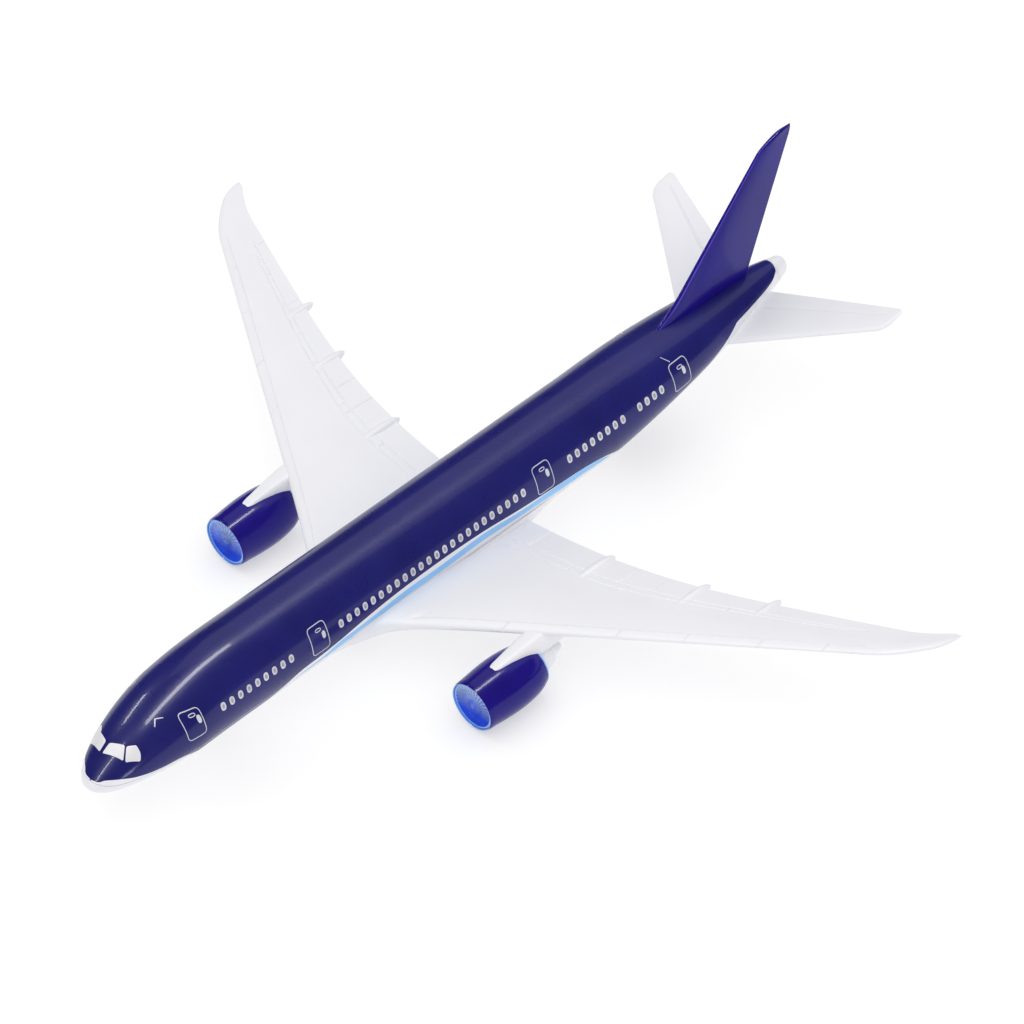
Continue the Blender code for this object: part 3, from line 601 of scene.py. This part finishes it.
def printed(name, outlines, side, material, lift=0.035, sink=0.05):
    """Thin raised prints on the fuselage side. Each outline is a closed list of (y, level)."""
    vertices, faces = [], []
    for outline in outlines:
        cy = sum(p[0] for p in outline) / len(outline)
        cz = sum(p[1] for p in outline) / len(outline)
        rows = []
        layers = ((0.0, lift), (0.5, lift), (0.88, lift), (1.0, lift * 0.5), (1.0, -sink), (0.0, -sink))
        for share, height in layers:
            row = []
            for y, level in outline:
                y, level = cy + (y - cy) * share, cz + (level - cz) * share
                x, y, z = skin(y, turn_at(y, level), height)
                row.append((side * x, y, z))
            rows.append(row)
        append_rows(vertices, faces, rows)
    return place(make(name, vertices, faces, [material], sharp=50, weld=WIDE_WELD), "white_paint")


def oval(y, level, half_y, half_level, steps=20):
    """A slightly squared oval."""
    made = []
    for i in range(steps):
        turn = 2 * math.pi * i / steps
        across = math.copysign(abs(math.cos(turn)) ** 0.8, math.cos(turn)) * half_y
        up = math.copysign(abs(math.sin(turn)) ** 0.8, math.sin(turn)) * half_level
        made.append((y + across, level + up))
    return made


def rounded(corners, radius, steps=5):
    """A closed outline through corners of (y, level) with each corner rounded."""
    made = []
    for i, corner in enumerate(corners):
        here = Vector(corner)
        before = (Vector(corners[i - 1]) - here).normalized() * radius
        after = (Vector(corners[(i + 1) % len(corners)]) - here).normalized() * radius
        for k in range(steps + 1):
            t = k / steps
            made.append(tuple(here + before * (1 - t) ** 2 + after * t**2))
    return made


def line_print(name, outlines, side, material, lift=0.03, sink=0.05):
    """Raised printed lines along closed outlines of (y, level)."""
    vertices, faces = [], []
    for outline in outlines:
        dense = spread(outline)
        rows = [[], [], [], []]
        for i, point in enumerate(dense):
            along = (Vector(dense[(i + 1) % len(dense)]) - Vector(dense[i - 1])).normalized()
            across = Vector((along.y, -along.x)) * DOOR_LINE / 2
            for row, sign, height in zip(rows, (1, -1, -1, 1), (lift, lift, -sink, -sink)):
                y, level = Vector(point) + across * sign
                x, y, z = skin(y, turn_at(y, level), height)
                row.append((side * x, y, z))
        append_rows(vertices, faces, rows, loop=True)
    return place(make(name, vertices, faces, [material], sharp=50, weld=PRINT_WELD), "white_paint")


WINDOW_ROWS = ((9, -57.0, 1.82, -42.43, 1.87), (24, -31.59, 1.87, 8.94, 2.15),
               (8, 19.55, 2.37, 31.79, 2.63), (4, 35.67, 2.79, 40.84, 2.99))
WINDOW_HALF = (0.50, 0.72)
WINDOW_PANE_HALF = (0.25, 0.40)


def windows():
    for count, y0, level0, y1, level1 in WINDOW_ROWS:
        for i in range(count):
            t = i / (count - 1)
            yield y0 + (y1 - y0) * t, level0 + (level1 - level0) * t


# (front y, back y, sill level, top level, handle y, handle level, window y, window level)
DOORS = ((-64.6, -61.1, -0.45, 4.1, -62.6, 3.5, -61.75, 2.25),
         (-38.1, -34.5, -0.7, 4.45, -36.1, 3.6, -35.3, 2.1),
         (11.9, 15.5, -0.3, 4.75, 13.8, 4.0, 14.6, 2.65),
         (43.7, 47.6, 0.55, 5.45, 45.8, 4.6, 46.4, 3.45))
DOOR_LINE = 0.13
SENSOR_MARK = (((-68.3, 3.2), (-67.5, 3.9), (-67.44, 3.82), (-68.22, 3.12)),
               ((-67.5, 3.9), (-66.4, 3.95), (-66.4, 3.86), (-67.44, 3.82)))
AERIAL_MARK = (((43.6, 6.45), (43.75, 6.45), (44.75, 5.55), (44.6, 5.5)),)


def fuselage_prints(side_name, side):
    frames = [oval(y, level, *WINDOW_HALF) for y, level in windows()]
    panes = [oval(y, level, *WINDOW_PANE_HALF) for y, level in windows()]
    lines = []
    door_windows = []
    for y0, y1, sill, top, handle_y, handle_level, window_y, window_level in DOORS:
        corners = ((y0, sill), (y1, sill), (y1, top - 0.2), (y0, top - 0.2))
        lines.append(rounded(corners, 0.75))
        lines.append(oval(handle_y, handle_level - 0.35, 0.55, 0.22, steps=14))
        door_windows.append(oval(window_y, window_level, 0.36, 0.66))
    printed(side_name + "_cabin_windows", frames + door_windows, side, SILVER)
    printed(side_name + "_window_panes", panes, side, GREY, lift=0.06, sink=0.0)
    line_print(side_name + "_door_outlines", lines, side, SILVER)
    if side > 0:
        printed("port_sensor_mark", SENSOR_MARK, side, SILVER)
    printed(side_name + "_aerial_mark", AERIAL_MARK, side, SILVER)


def spread(outline, step=0.25):
    """The closed outline with points at most a step apart."""
    made = []
    for point, following in zip(outline, outline[1:] + outline[:1]):
        steps = max(1, int(math.dist(point, following) / step))
        made += [tuple(Vector(point).lerp(Vector(following), k / steps)) for k in range(steps)]
    return made


# Corners (across, y) of the cockpit panes, about a centre line that the print misses by a shift
FRONT_PANE = ((0.42, -74.1), (2.96, -73.1), (4.13, -74.69), (0.33, -75.73))
SIDE_PANE = ((3.26, -73.07), (4.41, -71.93), (5.53, -72.15), (6.06, -72.77), (4.49, -74.61))
PANE_SHIFTS = {("port", "front"): -0.9, ("port", "side"): -0.9, ("starboard", "front"): -0.9,
               ("starboard", "side"): -0.3}
PANE_LAYERS = ((0.0, 0.045), (0.3, 0.045), (0.6, 0.045), (0.85, 0.045), (0.97, 0.04), (1.0, 0.02),
               (1.0, -0.06), (0.0, -0.06))


def cockpit_panes():
    for side_name, side in (("port", 1), ("starboard", -1)):
        for kind, corners in (("front", FRONT_PANE), ("side", SIDE_PANE)):
            shift = PANE_SHIFTS[side_name, kind]
            outline = spread(rounded([(side * x + shift, y) for x, y in corners], 0.3))
            middle = Vector(np.mean(outline, axis=0))
            rows = []
            for share, lift in PANE_LAYERS:
                points = [middle.lerp(Vector(point), share) for point in outline]
                rows.append([on_crown(point.x, point.y, lift) for point in points])
            vertices, faces = [], []
            append_rows(vertices, faces, rows)
            obj = make(f"{side_name}_cockpit_{kind}_pane", vertices, faces, [PANE], None, 50, WIDE_WELD)
            place(obj, "white_paint")


def on_crown(x, y, lift):
    """A point on the upper half of the nose above x, y."""
    half_width = fuselage_lines(y)[2]
    return skin(y, math.acos(min(max(x / half_width, -0.999), 0.999)), lift)


# ---------------------------------------------------------------- wing and belly fairing


def leading_edge(x):
    front = LEADING_ROOT_Y + LEADING_SLOPE * x + RAKE * max(x - RAKE_X, 0.0) ** 2
    for size, start, fade in (ROOT_FILLET, ROOT_STRAKE):
        front -= size * math.exp(-max(x - start, 0.0) / fade)
    return front


def trailing_edge(x):
    outboard = TRAILING_BASE_Y + TRAILING_SLOPE * x
    lead = (outboard - TRAILING_ROOT_Y) / TRAILING_BLEND
    smoothed = TRAILING_ROOT_Y + TRAILING_BLEND * math.log1p(math.exp(min(lead, 30.0)))
    return smoothed + RAKE_TRAILING * max(x - RAKE_X, 0.0) ** 2


def wing_level(x):
    return WING_ROOT_LEVEL + DIHEDRAL * (x - WING_ROOT_X)


# Section heights against the square root of the chord share
WING_UPPER = [(math.sqrt(a), b) for a, b in ((0, 0), (0.012, 0.2), (0.06, 0.42), (0.18, 0.6),
                                             (0.38, 0.62), (0.68, 0.4), (1.0, 0.14))]
WING_LOWER = [(math.sqrt(a), b) for a, b in ((0, 0), (0.012, -0.16), (0.04, -0.26), (0.15, -0.36),
                                             (0.38, -0.38), (0.68, -0.28), (1.0, -0.1))]


def wing_heights(x, share, lower=False):
    """Level of the wing's skin at a span station and chord share."""
    front = leading_edge(x)
    chord = trailing_edge(x) - front
    thickness = max(WING_THICKNESS * chord, WING_LEAST)
    if x > HALF_SPAN - TIP_THIN:
        thickness = TIP_THICKNESS + (thickness - TIP_THICKNESS) * (HALF_SPAN - x) / TIP_THIN
        thickness *= tip_share(x) ** TIP_POWER
    droop = ROOT_DROOP * max(0.0, 1.0 - (x - WING_ROOT_X) / DROOP_FADE)
    height = smooth_curve(WING_LOWER if lower else WING_UPPER, math.sqrt(max(share, 0.0)))
    return AXIS_Z + wing_level(x) - droop * share + height * thickness


def tip_share(x):
    """How much of the chord is left, close to the rounded tip."""
    past = min(max((x - (HALF_SPAN - TIP_ROUND)) / TIP_ROUND, 0.0), 0.995)
    return math.sqrt(1 - past**2)


def spanwise_grooves(x):
    """Chord shares of the engraved lines at x: slat line, spoiler line and flap hinge line."""
    chord = trailing_edge(x) - leading_edge(x)
    distance, start, end = SLAT_LINE
    lines = [distance / chord if start < x < end else None]
    for share, most, start, end in (SPOILER_LINE, HINGE_LINE):
        lines.append(1 - min(share * chord, most) / chord if start < x < end else None)
    return lines


# Chordwise breaks: (x, between which of the lines). 0 is the leading edge, 1 the slat line, 2 the
# spoiler line, 3 the hinge line and 4 the trailing edge
BREAKS = ((12.5, 3, 4), (22.0, 2, 3), (24.5, 0, 1), (31.2, 2, 4), (33.2, 2, 3), (36.6, 3, 4),
          (40.3, 0, 1), (43.4, 2, 3), (49.8, 0, 1), (50.0, 2, 3), (56.5, 3, 4), (57.0, 2, 3),
          (60.0, 0, 1), (64.0, 2, 3), (69.0, 0, 1), (70.5, 3, 4))


def wing_shares(x):
    """The chord shares of a ring's points, with three at each engraved line, and their depths."""
    chord = trailing_edge(x) - leading_edge(x)
    near = GROOVE_WIDTH / 2 / chord
    live = spanwise_grooves(x)
    marks = [0.0, *spanwise_grooves(min(max(x, 12), 68)), 1.0]
    shares = []
    for i, (a, b, count) in enumerate(zip(marks, marks[1:], (7, 11, 5, 5))):
        low = a + (near if i else 0)
        high = b - (near if i < 3 else 0)
        for k in range(count + 1):
            t = k / count
            shares.append((low + (high - low) * (t**1.8 if i == 0 else t), 0.0, i))
        if i < 3:
            shares.append((b, GROOVE_DEPTH if live[i] is not None else 0.0, i + 0.5))
    return shares


def wing_ring(x, break_zone=None):
    front, back = leading_edge(x), trailing_edge(x)
    squeeze = tip_share(x)
    middle = (front + back) / 2 + TIP_SHIFT * (1 - squeeze)
    ring = []
    for share, depth, zone in wing_shares(x):
        if break_zone and break_zone[0] - 0.5 <= zone < break_zone[1] - 0.4:
            depth = GROOVE_DEPTH
        y = front + share * (back - front)
        ring.append((x, middle + (y - middle) * squeeze, wing_heights(x, share) - depth))
    for share in between(1.0, 0.02, 14)[:-1] + [0.05, 0.02, 0.006]:
        y = front + share * (back - front)
        ring.append((x, middle + (y - middle) * squeeze, wing_heights(x, share, lower=True)))
    return ring


def wing_half():
    stations = []
    plain = between(WING_ROOT_X, 76, 73) + between(76.5, HALF_SPAN - 1.7, 14)
    plain += [HALF_SPAN - TIP_ROUND * (1 - math.sin(math.pi / 2 * k / 12)) for k in range(13)]
    plain[-1] = HALF_SPAN - 0.004
    cuts = [(x, zones) for x, *zones in BREAKS]
    for x in plain:
        if all(abs(x - c) > GROOVE_WIDTH * 0.9 for c, _ in cuts):
            stations.append((x, None))
    for c, zones in cuts:
        stations += [(c - GROOVE_WIDTH / 2, None), (c, zones), (c + GROOVE_WIDTH / 2, None)]
    stations.sort(key=lambda s: s[0])
    return loft("wing_half", [wing_ring(x, zones) for x, zones in stations], [WING_WHITE])


def flap_fairing(x, tail_y, length, radius):
    level = wing_level(x) - FLAP_FAIRING_DROP
    squash = FLAP_FAIRING_SQUASH
    rings = []
    for share in between(0.002, 0.998, 25):
        swell = math.sqrt(max(1 - abs(2 * share - 1) ** FLAP_FAIRING_FULLNESS, 0.0))
        y = tail_y - length * (1 - share)
        width, height = radius * squash[0] * swell, radius * squash[1] * swell
        rings.append([(x + width * math.cos(t), y, AXIS_Z + level + height * math.sin(t))
                      for t in [2 * math.pi * i / 24 for i in range(24)]])
    return loft("flap_fairing", rings, [WING_WHITE])


def fairing_ring(y):
    """Round the belly fairing: the body's own round at its ends, a fuller section between them."""
    start, end = FAIRING_Y
    share = (y - start) / (end - start)
    bulge = math.sin(math.pi * min(max(share, 0.0), 1.0)) ** FAIRING_SWELL
    blend = min(bulge * FAIRING_BLEND, 1.0)
    top = PART_LINE[0][1] - SEAM
    edge_turn = math.asin(top / RADIUS)
    edge = math.cos(edge_turn) * RADIUS + FAIRING_PROUD * bulge
    depth = -RADIUS + (FAIRING_DEPTH + RADIUS) * bulge
    ring = []
    for i in range(FAIRING_STEPS + 1):
        turn = math.pi * i / FAIRING_STEPS
        side = math.copysign(abs(math.cos(turn)) ** FAIRING_SQUARENESS, math.cos(turn))
        square = (edge * side, top + (depth - top) * math.sin(turn) ** FAIRING_SQUARENESS)
        round_turn = edge_turn - (math.pi + 2 * edge_turn) * i / FAIRING_STEPS
        circle = (RADIUS * math.cos(round_turn), RADIUS * math.sin(round_turn))
        x, level = [b + (a - b) * blend for a, b in zip(square, circle)]
        ring.append((x, y, AXIS_Z + level))
    return ring


def wing_piece():
    start, end = FAIRING_Y
    shares = [(1 - math.cos(math.pi * i / 36)) / 2 for i in range(37)]
    stations = [start + SEAM + (end - start - 2 * SEAM) * share for share in shares]
    obj = loft("wing_moulding", [fairing_ring(y) for y in stations], [WING_WHITE])
    tools = [combine(obj, wing_half(), "UNION")]
    for row in FLAP_FAIRINGS:
        tools.append(combine(obj, flap_fairing(*row), "UNION"))
    mirror = obj.modifiers.new("both_sides", "MIRROR")
    mirror.use_axis = (True, False, False)
    mirror.use_bisect_axis = (True, False, False)
    mirror.merge_threshold = 0.00001
    rings = []
    for y in [start - 2] + between(start + 1, end - 1, 24) + [end + 2]:
        edge = turn_at(y, part_level(y) - SEAM)
        rings.append([skin(y, edge + (math.pi - 2 * edge) * i / 72, SEAT_LIFT) for i in range(73)])
    tools.append(combine(obj, loft("seat", rings, [WING_WHITE]), "DIFFERENCE"))
    for _, y, level in SCREWS[1:3]:
        tools.append(combine(obj, hole_cutter(y, level), "DIFFERENCE"))
    radius, top = SOCKET_RECESS[0], SOCKET_FACE + SOCKET_RECESS[1]
    flat = turned("flat", [(0, top), (radius, top), (radius, -5), (0, -5)], (0, SOCKET_Y, 0),
                  [WING_WHITE], upright=True)
    tools.append(combine(obj, flat, "DIFFERENCE"))
    applied(obj, 30)
    drop(*tools)
    return place(obj, "wing_plastic", "wing_and_belly_fairing")


# ---------------------------------------------------------------- tail surfaces


def thickness_at(share):
    """Half thickness of the common symmetric four-digit section, with a thicker trailing edge."""
    return (5 * (0.2969 * math.sqrt(share) - 0.126 * share - 0.3516 * share**2 + 0.2843 * share**3
                 - 0.1015 * share**4) + 0.13 * share**3)


HIGHLIGHT_FACES = (5, 6)  # faces of a fin section that carry the painted highlight: a lighter violet line behind its leading edge that stands in for the lights' reflection
SECTION_SHARES = [(i / 22) ** 2 * 0.4 for i in range(23)] + between(0.43, 1.0, 14)


def round_end(start, reach):
    """Stations that crowd towards a rounded end."""
    return [start + reach * math.sin(math.pi / 2 * k / 7) for k in range(1, 8)]


def fin_edges(level):
    above = level - FIN_KNEE[1]
    front = FIN_KNEE[0] + FIN_SWEEP * above + FIN_DORSAL * min(above, 0.0) ** 3
    y, base, slope = FIN_TRAILING
    back = y + slope * (level - base)
    rounding = max(level - FIN_ROUNDING[0], 0.0) ** 2
    return front + FIN_ROUNDING[1] * rounding, back - FIN_ROUNDING[2] * rounding


def fin_half(level, share):
    thickness = FIN_THICKNESS * (1 - FIN_THINNING * level / FIN_TOP_LEVEL)
    past = min(max((level - (FIN_TOP_LEVEL - FIN_TIP)) / FIN_TIP, 0.0), 0.98)
    return thickness * thickness_at(share) * math.sqrt(1 - past**2)


def fin():
    rings = []
    tip = FIN_TOP_LEVEL - FIN_TIP
    levels = between(FIN_BASE_LEVEL, 12, 20) + between(12.5, 28, 24) + between(28.3, tip, 12)
    levels += round_end(tip, FIN_TIP - 0.004)
    for level in levels:
        front, back = fin_edges(level)
        side = [(fin_half(level, s), front + s * (back - front), AXIS_Z + level) for s in SECTION_SHARES]
        rings.append(side + [(-x, y, z) for x, y, z in side[:0:-1]])
    last = len(rings[0]) - 1
    # The faces just behind the leading edge get the painted highlight colour
    blade = loft("fin_blade", rings, [VIOLET, FIN_EDGE_HIGHLIGHT],
                 lambda i, j: 1 if min(j, last - j) in HIGHLIGHT_FACES else 0, 60)
    return place(blade, "fin_blue", "vertical_fin")


def stabiliser_edges(x):
    """(y, level) of the leading and of the trailing edge, before the tip is rounded."""
    out = x - STABILISER_REF_X
    front = (STABILISER_LEADING[0] + STABILISER_LEADING[1] * (x - STABILISER_ROOT_X),
             STABILISER_LEVELS[0] + STABILISER_DIHEDRALS[0] * out)
    back = (STABILISER_TRAILING[0] + STABILISER_TRAILING[1] * out,
            STABILISER_LEVELS[1] + STABILISER_DIHEDRALS[1] * out)
    return front, back


def stabiliser(side_name, side):
    rings = []
    tip = STABILISER_TIP_X - STABILISER_TIP
    hinge = STABILISER_HINGE
    half_width, depth, groove_start, groove_end = STABILISER_GROOVE
    for x in between(1.6, 24.5, 36) + between(24.8, tip, 8) + round_end(tip, STABILISER_TIP - 0.003):
        (first, front_level), (back, back_level) = stabiliser_edges(x)
        slope = (back_level - front_level) / (back - first)
        rounding = max(x - STABILISER_ROUNDING[0], 0.0) ** 2
        front = first + STABILISER_ROUNDING[1] * rounding
        back -= STABILISER_ROUNDING[2] * rounding
        chord = back - front
        past = min(max((x - tip) / STABILISER_TIP, 0.0), 0.98)
        thinning = 1 - STABILISER_THINNING * x / STABILISER_TIP_X
        thickness = STABILISER_THICKNESS * thinning * math.sqrt(1 - past**2)
        near = half_width / chord
        shares = [(i / 16) ** 2 * 0.4 for i in range(17)] + between(0.44, hinge - near, 7)
        shares += [hinge, hinge + near] + between(0.76, 1.0, 7)
        side_points = []
        for s in shares:
            groove = depth if s == hinge and groove_start < x < groove_end else 0.0
            side_points.append((front + s * chord, thickness * thickness_at(s) - groove))
        ring = side_points + [(y, -h) for y, h in side_points[:0:-1]]
        rings.append([(side * x, y, AXIS_Z + front_level + slope * (y - first) + h) for y, h in ring])
    obj = loft(side_name + "_tailplane", rings, [WING_WHITE], sharp=40)
    return place(obj, "wing_plastic", side_name + "_stabiliser")


# ---------------------------------------------------------------- engines


def cowl(side_name, side):
    profile = blend_points(COWL_OUTER, 44) + blend_points(COWL_INNER, 30)
    (lip_radius, lip_y), (_, tail_y) = COWL_OUTER[0], COWL_OUTER[-1]

    def pick(j):
        radius, y = np.mean((profile[j], profile[(j + 1) % len(profile)]), axis=0)
        on_lip = y < lip_y + RIM_REACH[0] and radius < lip_radius + 0.03
        return 1 if on_lip or y > tail_y - RIM_REACH[1] else 0

    obj = turned(side_name + "_cowl_skin", profile, (side * ENGINE_X, 0, AXIS_Z + ENGINE_LEVEL),
                 [VIOLET, RIM], 112, 50, pick)
    return place(obj, "cowl_blue", side_name + "_nacelle_cowl")


def fan(side_name, side):
    """A bladed disc with a low spinner, nearly flush with the lip."""
    cx, cz = side * ENGINE_X, AXIS_Z + ENGINE_LEVEL
    steps = FAN_BLADES * 8
    rings = []
    for r in FAN_RADII:
        ring = []
        for k in range(steps):
            turn = 2 * math.pi * k / steps
            wave = ((turn + 0.14 * r) * FAN_BLADES / (2 * math.pi)) % 1.0
            blade = 0.0
            if BLADE_ROOT < r < BLADE_TIP:
                blade = 0.16 * (wave if wave < 0.8 else (1 - wave) * 4) * min(1, (r - BLADE_ROOT) * 3)
            if r <= BLADE_ROOT:
                y = FAN_FACE_Y - 0.22 * math.sqrt(max(1 - (r / 0.47) ** 2, 0)) - 0.02
            elif r >= BLADE_TIP:
                y = FAN_FACE_Y - 0.08
            else:
                y = FAN_FACE_Y + 0.12 - blade
            ring.append((cx + r * math.cos(turn), y, cz + r * math.sin(turn)))
        rings.append(ring)
    turns = [2 * math.pi * k / steps for k in range(steps)]
    for r, y in ((FAN_RADIUS, FAN_FACE_Y), (FAN_RADIUS, FAN_BACK_Y), (FAN_RADII[0], FAN_BACK_Y)):
        rings.append([(cx + r * math.cos(t), y, cz + r * math.sin(t)) for t in turns])
    rim = FAN_RADII.index(BLADE_TIP)
    obj = loft(side_name + "_fan", rings, [FAN, RIM], lambda i, j: 1 if i >= rim else 0, 28)
    return place(obj, "fan_face", side_name + "_fan_disc")


def core(side_name, side):
    outline = blend_points(CORE_OUTLINE, 40)
    profile = [(0.0, CORE_OUTLINE[0][1])] + outline + [(0.0, CORE_OUTLINE[-1][1])]
    obj = turned(side_name + "_nozzle", profile, (side * ENGINE_X, 0, AXIS_Z + ENGINE_LEVEL),
                 [WING_WHITE], 64, 40)
    return place(obj, "core_plastic", side_name + "_exhaust_core")


# Pylon stations: (y, top level, bottom level, half width)
PYLON = ((-20.0, -3.75, -5.0, 0.35), (-19.7, -3.45, -5.0, 0.7), (-19.0, -3.15, -5.0, 0.95),
         (-17.0, -2.75, -5.1, 1.15), (-13.0, -2.2, -5.1, 1.55), (-10.0, -1.9, -5.9, 1.8),
         (-6.0, -1.9, -5.9, 1.7), (-1.0, -2.0, -5.1, 1.2), (4.0, -2.2, -3.1, 0.4))


def pylon(side_name, side):
    rings = []
    curves = [[(row[0], row[k]) for row in PYLON] for k in (1, 2, 3)]
    for y in between(PYLON[0][0], PYLON[-1][0], 70, 1.3):
        top, bottom, half = [smooth_curve(curve, y) for curve in curves]
        ring = []
        for k in range(36):
            turn = 2 * math.pi * (k + 0.5) / 36
            px = half * math.copysign(abs(math.cos(turn)) ** 0.45, math.cos(turn))
            pz = math.copysign(abs(math.sin(turn)) ** 0.55, math.sin(turn)) * (top - bottom) / 2
            ring.append((side * ENGINE_X + px, y, AXIS_Z + (top + bottom) / 2 + pz))
        rings.append(ring)
    obj = loft(side_name + "_strut", rings, [WING_WHITE], sharp=40)
    return place(obj, "wing_plastic", side_name + "_pylon")


# ---------------------------------------------------------------- fasteners and socket


def screw(name, y, head_level):
    """A threaded screw with a domed head underneath and a tapering cross recess."""
    face = AXIS_Z + head_level
    seat = face + SCREW_HEAD_HEIGHT
    tip = AXIS_Z + SCREW_TIP_LEVEL
    r = SCREW_HEAD_RADIUS
    profile = [(0, tip), (0.3, tip - 0.2), (SCREW_RADIUS * 0.8, tip - 1.2)]
    pitch = (tip - seat - 2.0) / SCREW_TURNS
    for k in range(SCREW_TURNS):
        base = tip - 1.4 - k * pitch
        profile += [(SCREW_RADIUS * 0.78, base), (SCREW_RADIUS, base - pitch * 0.5)]
    profile += [(SCREW_RADIUS * 0.8, seat + 0.4), (SCREW_RADIUS * 0.8, seat), (r - 0.1, seat),
                (r, seat - 0.1)]
    dome = SCREW_DOME
    profile += [(r * math.cos(t), face + dome - dome * math.sin(t)) for t in between(0.0, 1.45, 9)]
    profile.append((0, face))
    obj = turned("recessed_" + name, profile, (0, y, 0), [STEEL], 64, 30, upright=True)
    tools = []
    for turn in (math.radians(20), math.radians(110)):
        corners = [(sx * 1.05 * k, sy * 0.22 * k, z) for z, k in ((-0.4, 1.15), (0.55, 0.5))
                   for sx, sy in ((1, 1), (-1, 1), (-1, -1), (1, -1))]
        spin = Matrix.Rotation(turn, 3, "Z")
        vertices = [tuple(spin @ Vector(c) + Vector((0, y, face))) for c in corners]
        faces = [(0, 1, 2, 3), (7, 6, 5, 4)]
        faces += [(i, (i + 1) % 4, 4 + (i + 1) % 4, 4 + i) for i in range(4)]
        tools.append(combine(obj, make("recess", vertices, faces, [STEEL]), "DIFFERENCE"))
    applied(obj, 30)
    drop(*tools)
    return place(obj, "screw_steel", name)


def socket():
    profile = [(radius, SOCKET_FACE + height) for radius, height in SOCKET_PROFILE]
    obj = turned("socket_bush", profile, (0, SOCKET_Y, 0), [SOCKET_STEEL], 72, 30, upright=True)
    return place(obj, "socket_metal", "stand_socket")


# ---------------------------------------------------------------- build

place(upper_skin(), "navy_paint", "fuselage_upper_shell")
belly("forward_belly_skin", "forward_belly_shell",
      nose_stations() + between(-45.4, FAIRING_Y[0], 18), SCREWS[0])
tail_end = [TAIL_Y - TAIL_END_HALF_WIDTH * (1 - math.sin(math.pi / 2 * k / 12)) for k in range(1, 13)]
belly("aft_belly_skin", "aft_belly_shell",
      between(FAIRING_Y[1], TAIL_Y - TAIL_END_HALF_WIDTH, 70) + tail_end, SCREWS[3])
wing_piece()
fin()
cockpit_panes()
for side_name, side in (("port", 1), ("starboard", -1)):
    fuselage_prints(side_name, side)
    stabiliser(side_name, side)
    cowl(side_name, side)
    fan(side_name, side)
    core(side_name, side)
    pylon(side_name, side)
for row in SCREWS:
    screw(*row)
socket()


# ---------------------------------------------------------------- floor, light and camera


def floor():
    made = bpy.data.materials.new("floor_white")
    made.use_nodes = True
    shader = made.node_tree.nodes["Principled BSDF"]
    shader.inputs["Base Color"].default_value = (0.55, 0.55, 0.55, 1)
    shader.inputs["Emission Color"].default_value = (1.0, 1.0, 1.0, 1)
    shader.inputs["Emission Strength"].default_value = 0.5
    shader.inputs["Roughness"].default_value = 0.9
    shader.inputs["Specular IOR Level"].default_value = 0.1
    shape = bmesh.new()
    bmesh.ops.create_grid(shape, x_segments=8, y_segments=8, size=6.0)
    mesh = bpy.data.meshes.new("floor")
    shape.to_mesh(mesh)
    shape.free()
    obj = bpy.data.objects.new("floor", mesh)
    obj.data.materials.append(made)
    bpy.context.scene.collection.objects.link(obj)
    obj.location = (0, 0, -0.0002)


def soft_light(name, direction, distance, size, power, kind):
    """An area light aimed at the origin. Kind "diffuse" leaves it out of reflections, and
    "gloss" keeps it to reflections."""
    data = bpy.data.lights.new(name, "AREA")
    data.shape = "RECTANGLE"
    data.size, data.size_y = size
    data.energy = power
    obj = bpy.data.objects.new(name, data)
    bpy.context.scene.collection.objects.link(obj)
    obj.location = Vector(direction).normalized() * distance
    obj.rotation_euler = (-Vector(direction)).to_track_quat("-Z", "Y").to_euler()
    obj.visible_glossy = kind != "diffuse"
    obj.visible_diffuse = kind != "gloss"


CAMERA_TURNS = (0.862182799, 0.737536649, -0.0928960662)  # azimuth, elevation and roll
CAMERA_AT = (0.70908, -0.59512, 0.83939)  # metres from the middle of the fuselage axis
CAMERA_LENS = 272.15
CAMERA_SENSOR = 36.0


def camera():
    azimuth, elevation, roll = CAMERA_TURNS
    back = Vector((math.sin(azimuth) * math.cos(elevation), -math.cos(azimuth) * math.cos(elevation),
                   math.sin(elevation)))
    right = (-back).cross(Vector((0, 0, 1))).normalized()
    up = right.cross(-back)
    across = right * math.cos(roll) + up * math.sin(roll)
    above = -right * math.sin(roll) + up * math.cos(roll)
    data = bpy.data.cameras.new("camera")
    data.lens = CAMERA_LENS
    data.sensor_width = CAMERA_SENSOR
    data.clip_start, data.clip_end = 0.05, 20.0
    obj = bpy.data.objects.new("camera", data)
    bpy.context.scene.collection.objects.link(obj)
    turn = Matrix((across, above, back)).transposed().to_4x4()
    x, y, z = CAMERA_AT
    obj.matrix_world = Matrix.Translation((x, y, z + AXIS_Z * MM)) @ turn
    bpy.context.scene.camera = obj


def world():
    made = bpy.data.worlds.new("studio")
    made.use_nodes = True
    background = made.node_tree.nodes["Background"]
    background.inputs["Color"].default_value = (1.0, 1.0, 1.0, 1)
    background.inputs["Strength"].default_value = 0.77
    made.cycles_visibility.glossy = False
    bpy.context.scene.world = made


# name, direction, distance, (length, width), power, kind
LIGHTS = (("ceiling", (0.12, -0.1, 1.0), 1.6, (2.6, 2.6), 10.6, "diffuse"),
          ("back_softbox", (-0.27, 0.5, 0.80), 1.1, (1.3, 0.7), 2.4, "gloss"),
          ("overhead_strip", (-0.03, 0.0, 1.0), 1.0, (0.8, 0.13), 8.0, "gloss"),
          ("starboard_spot", (-0.68, -0.23, 0.69), 1.0, (0.25, 0.06), 1.2, "gloss"),
          ("front_strip", (-0.35, -0.9, 0.75), 1.0, (0.05, 0.6), 2.4, "gloss"),
          ("port_softbox", (0.80, -0.55, 0.20), 1.2, (0.25, 0.25), 1.6, "gloss"))

floor()
world()
for row in LIGHTS:
    soft_light(*row)
camera()
bpy.context.scene.view_settings.view_transform = "Standard"
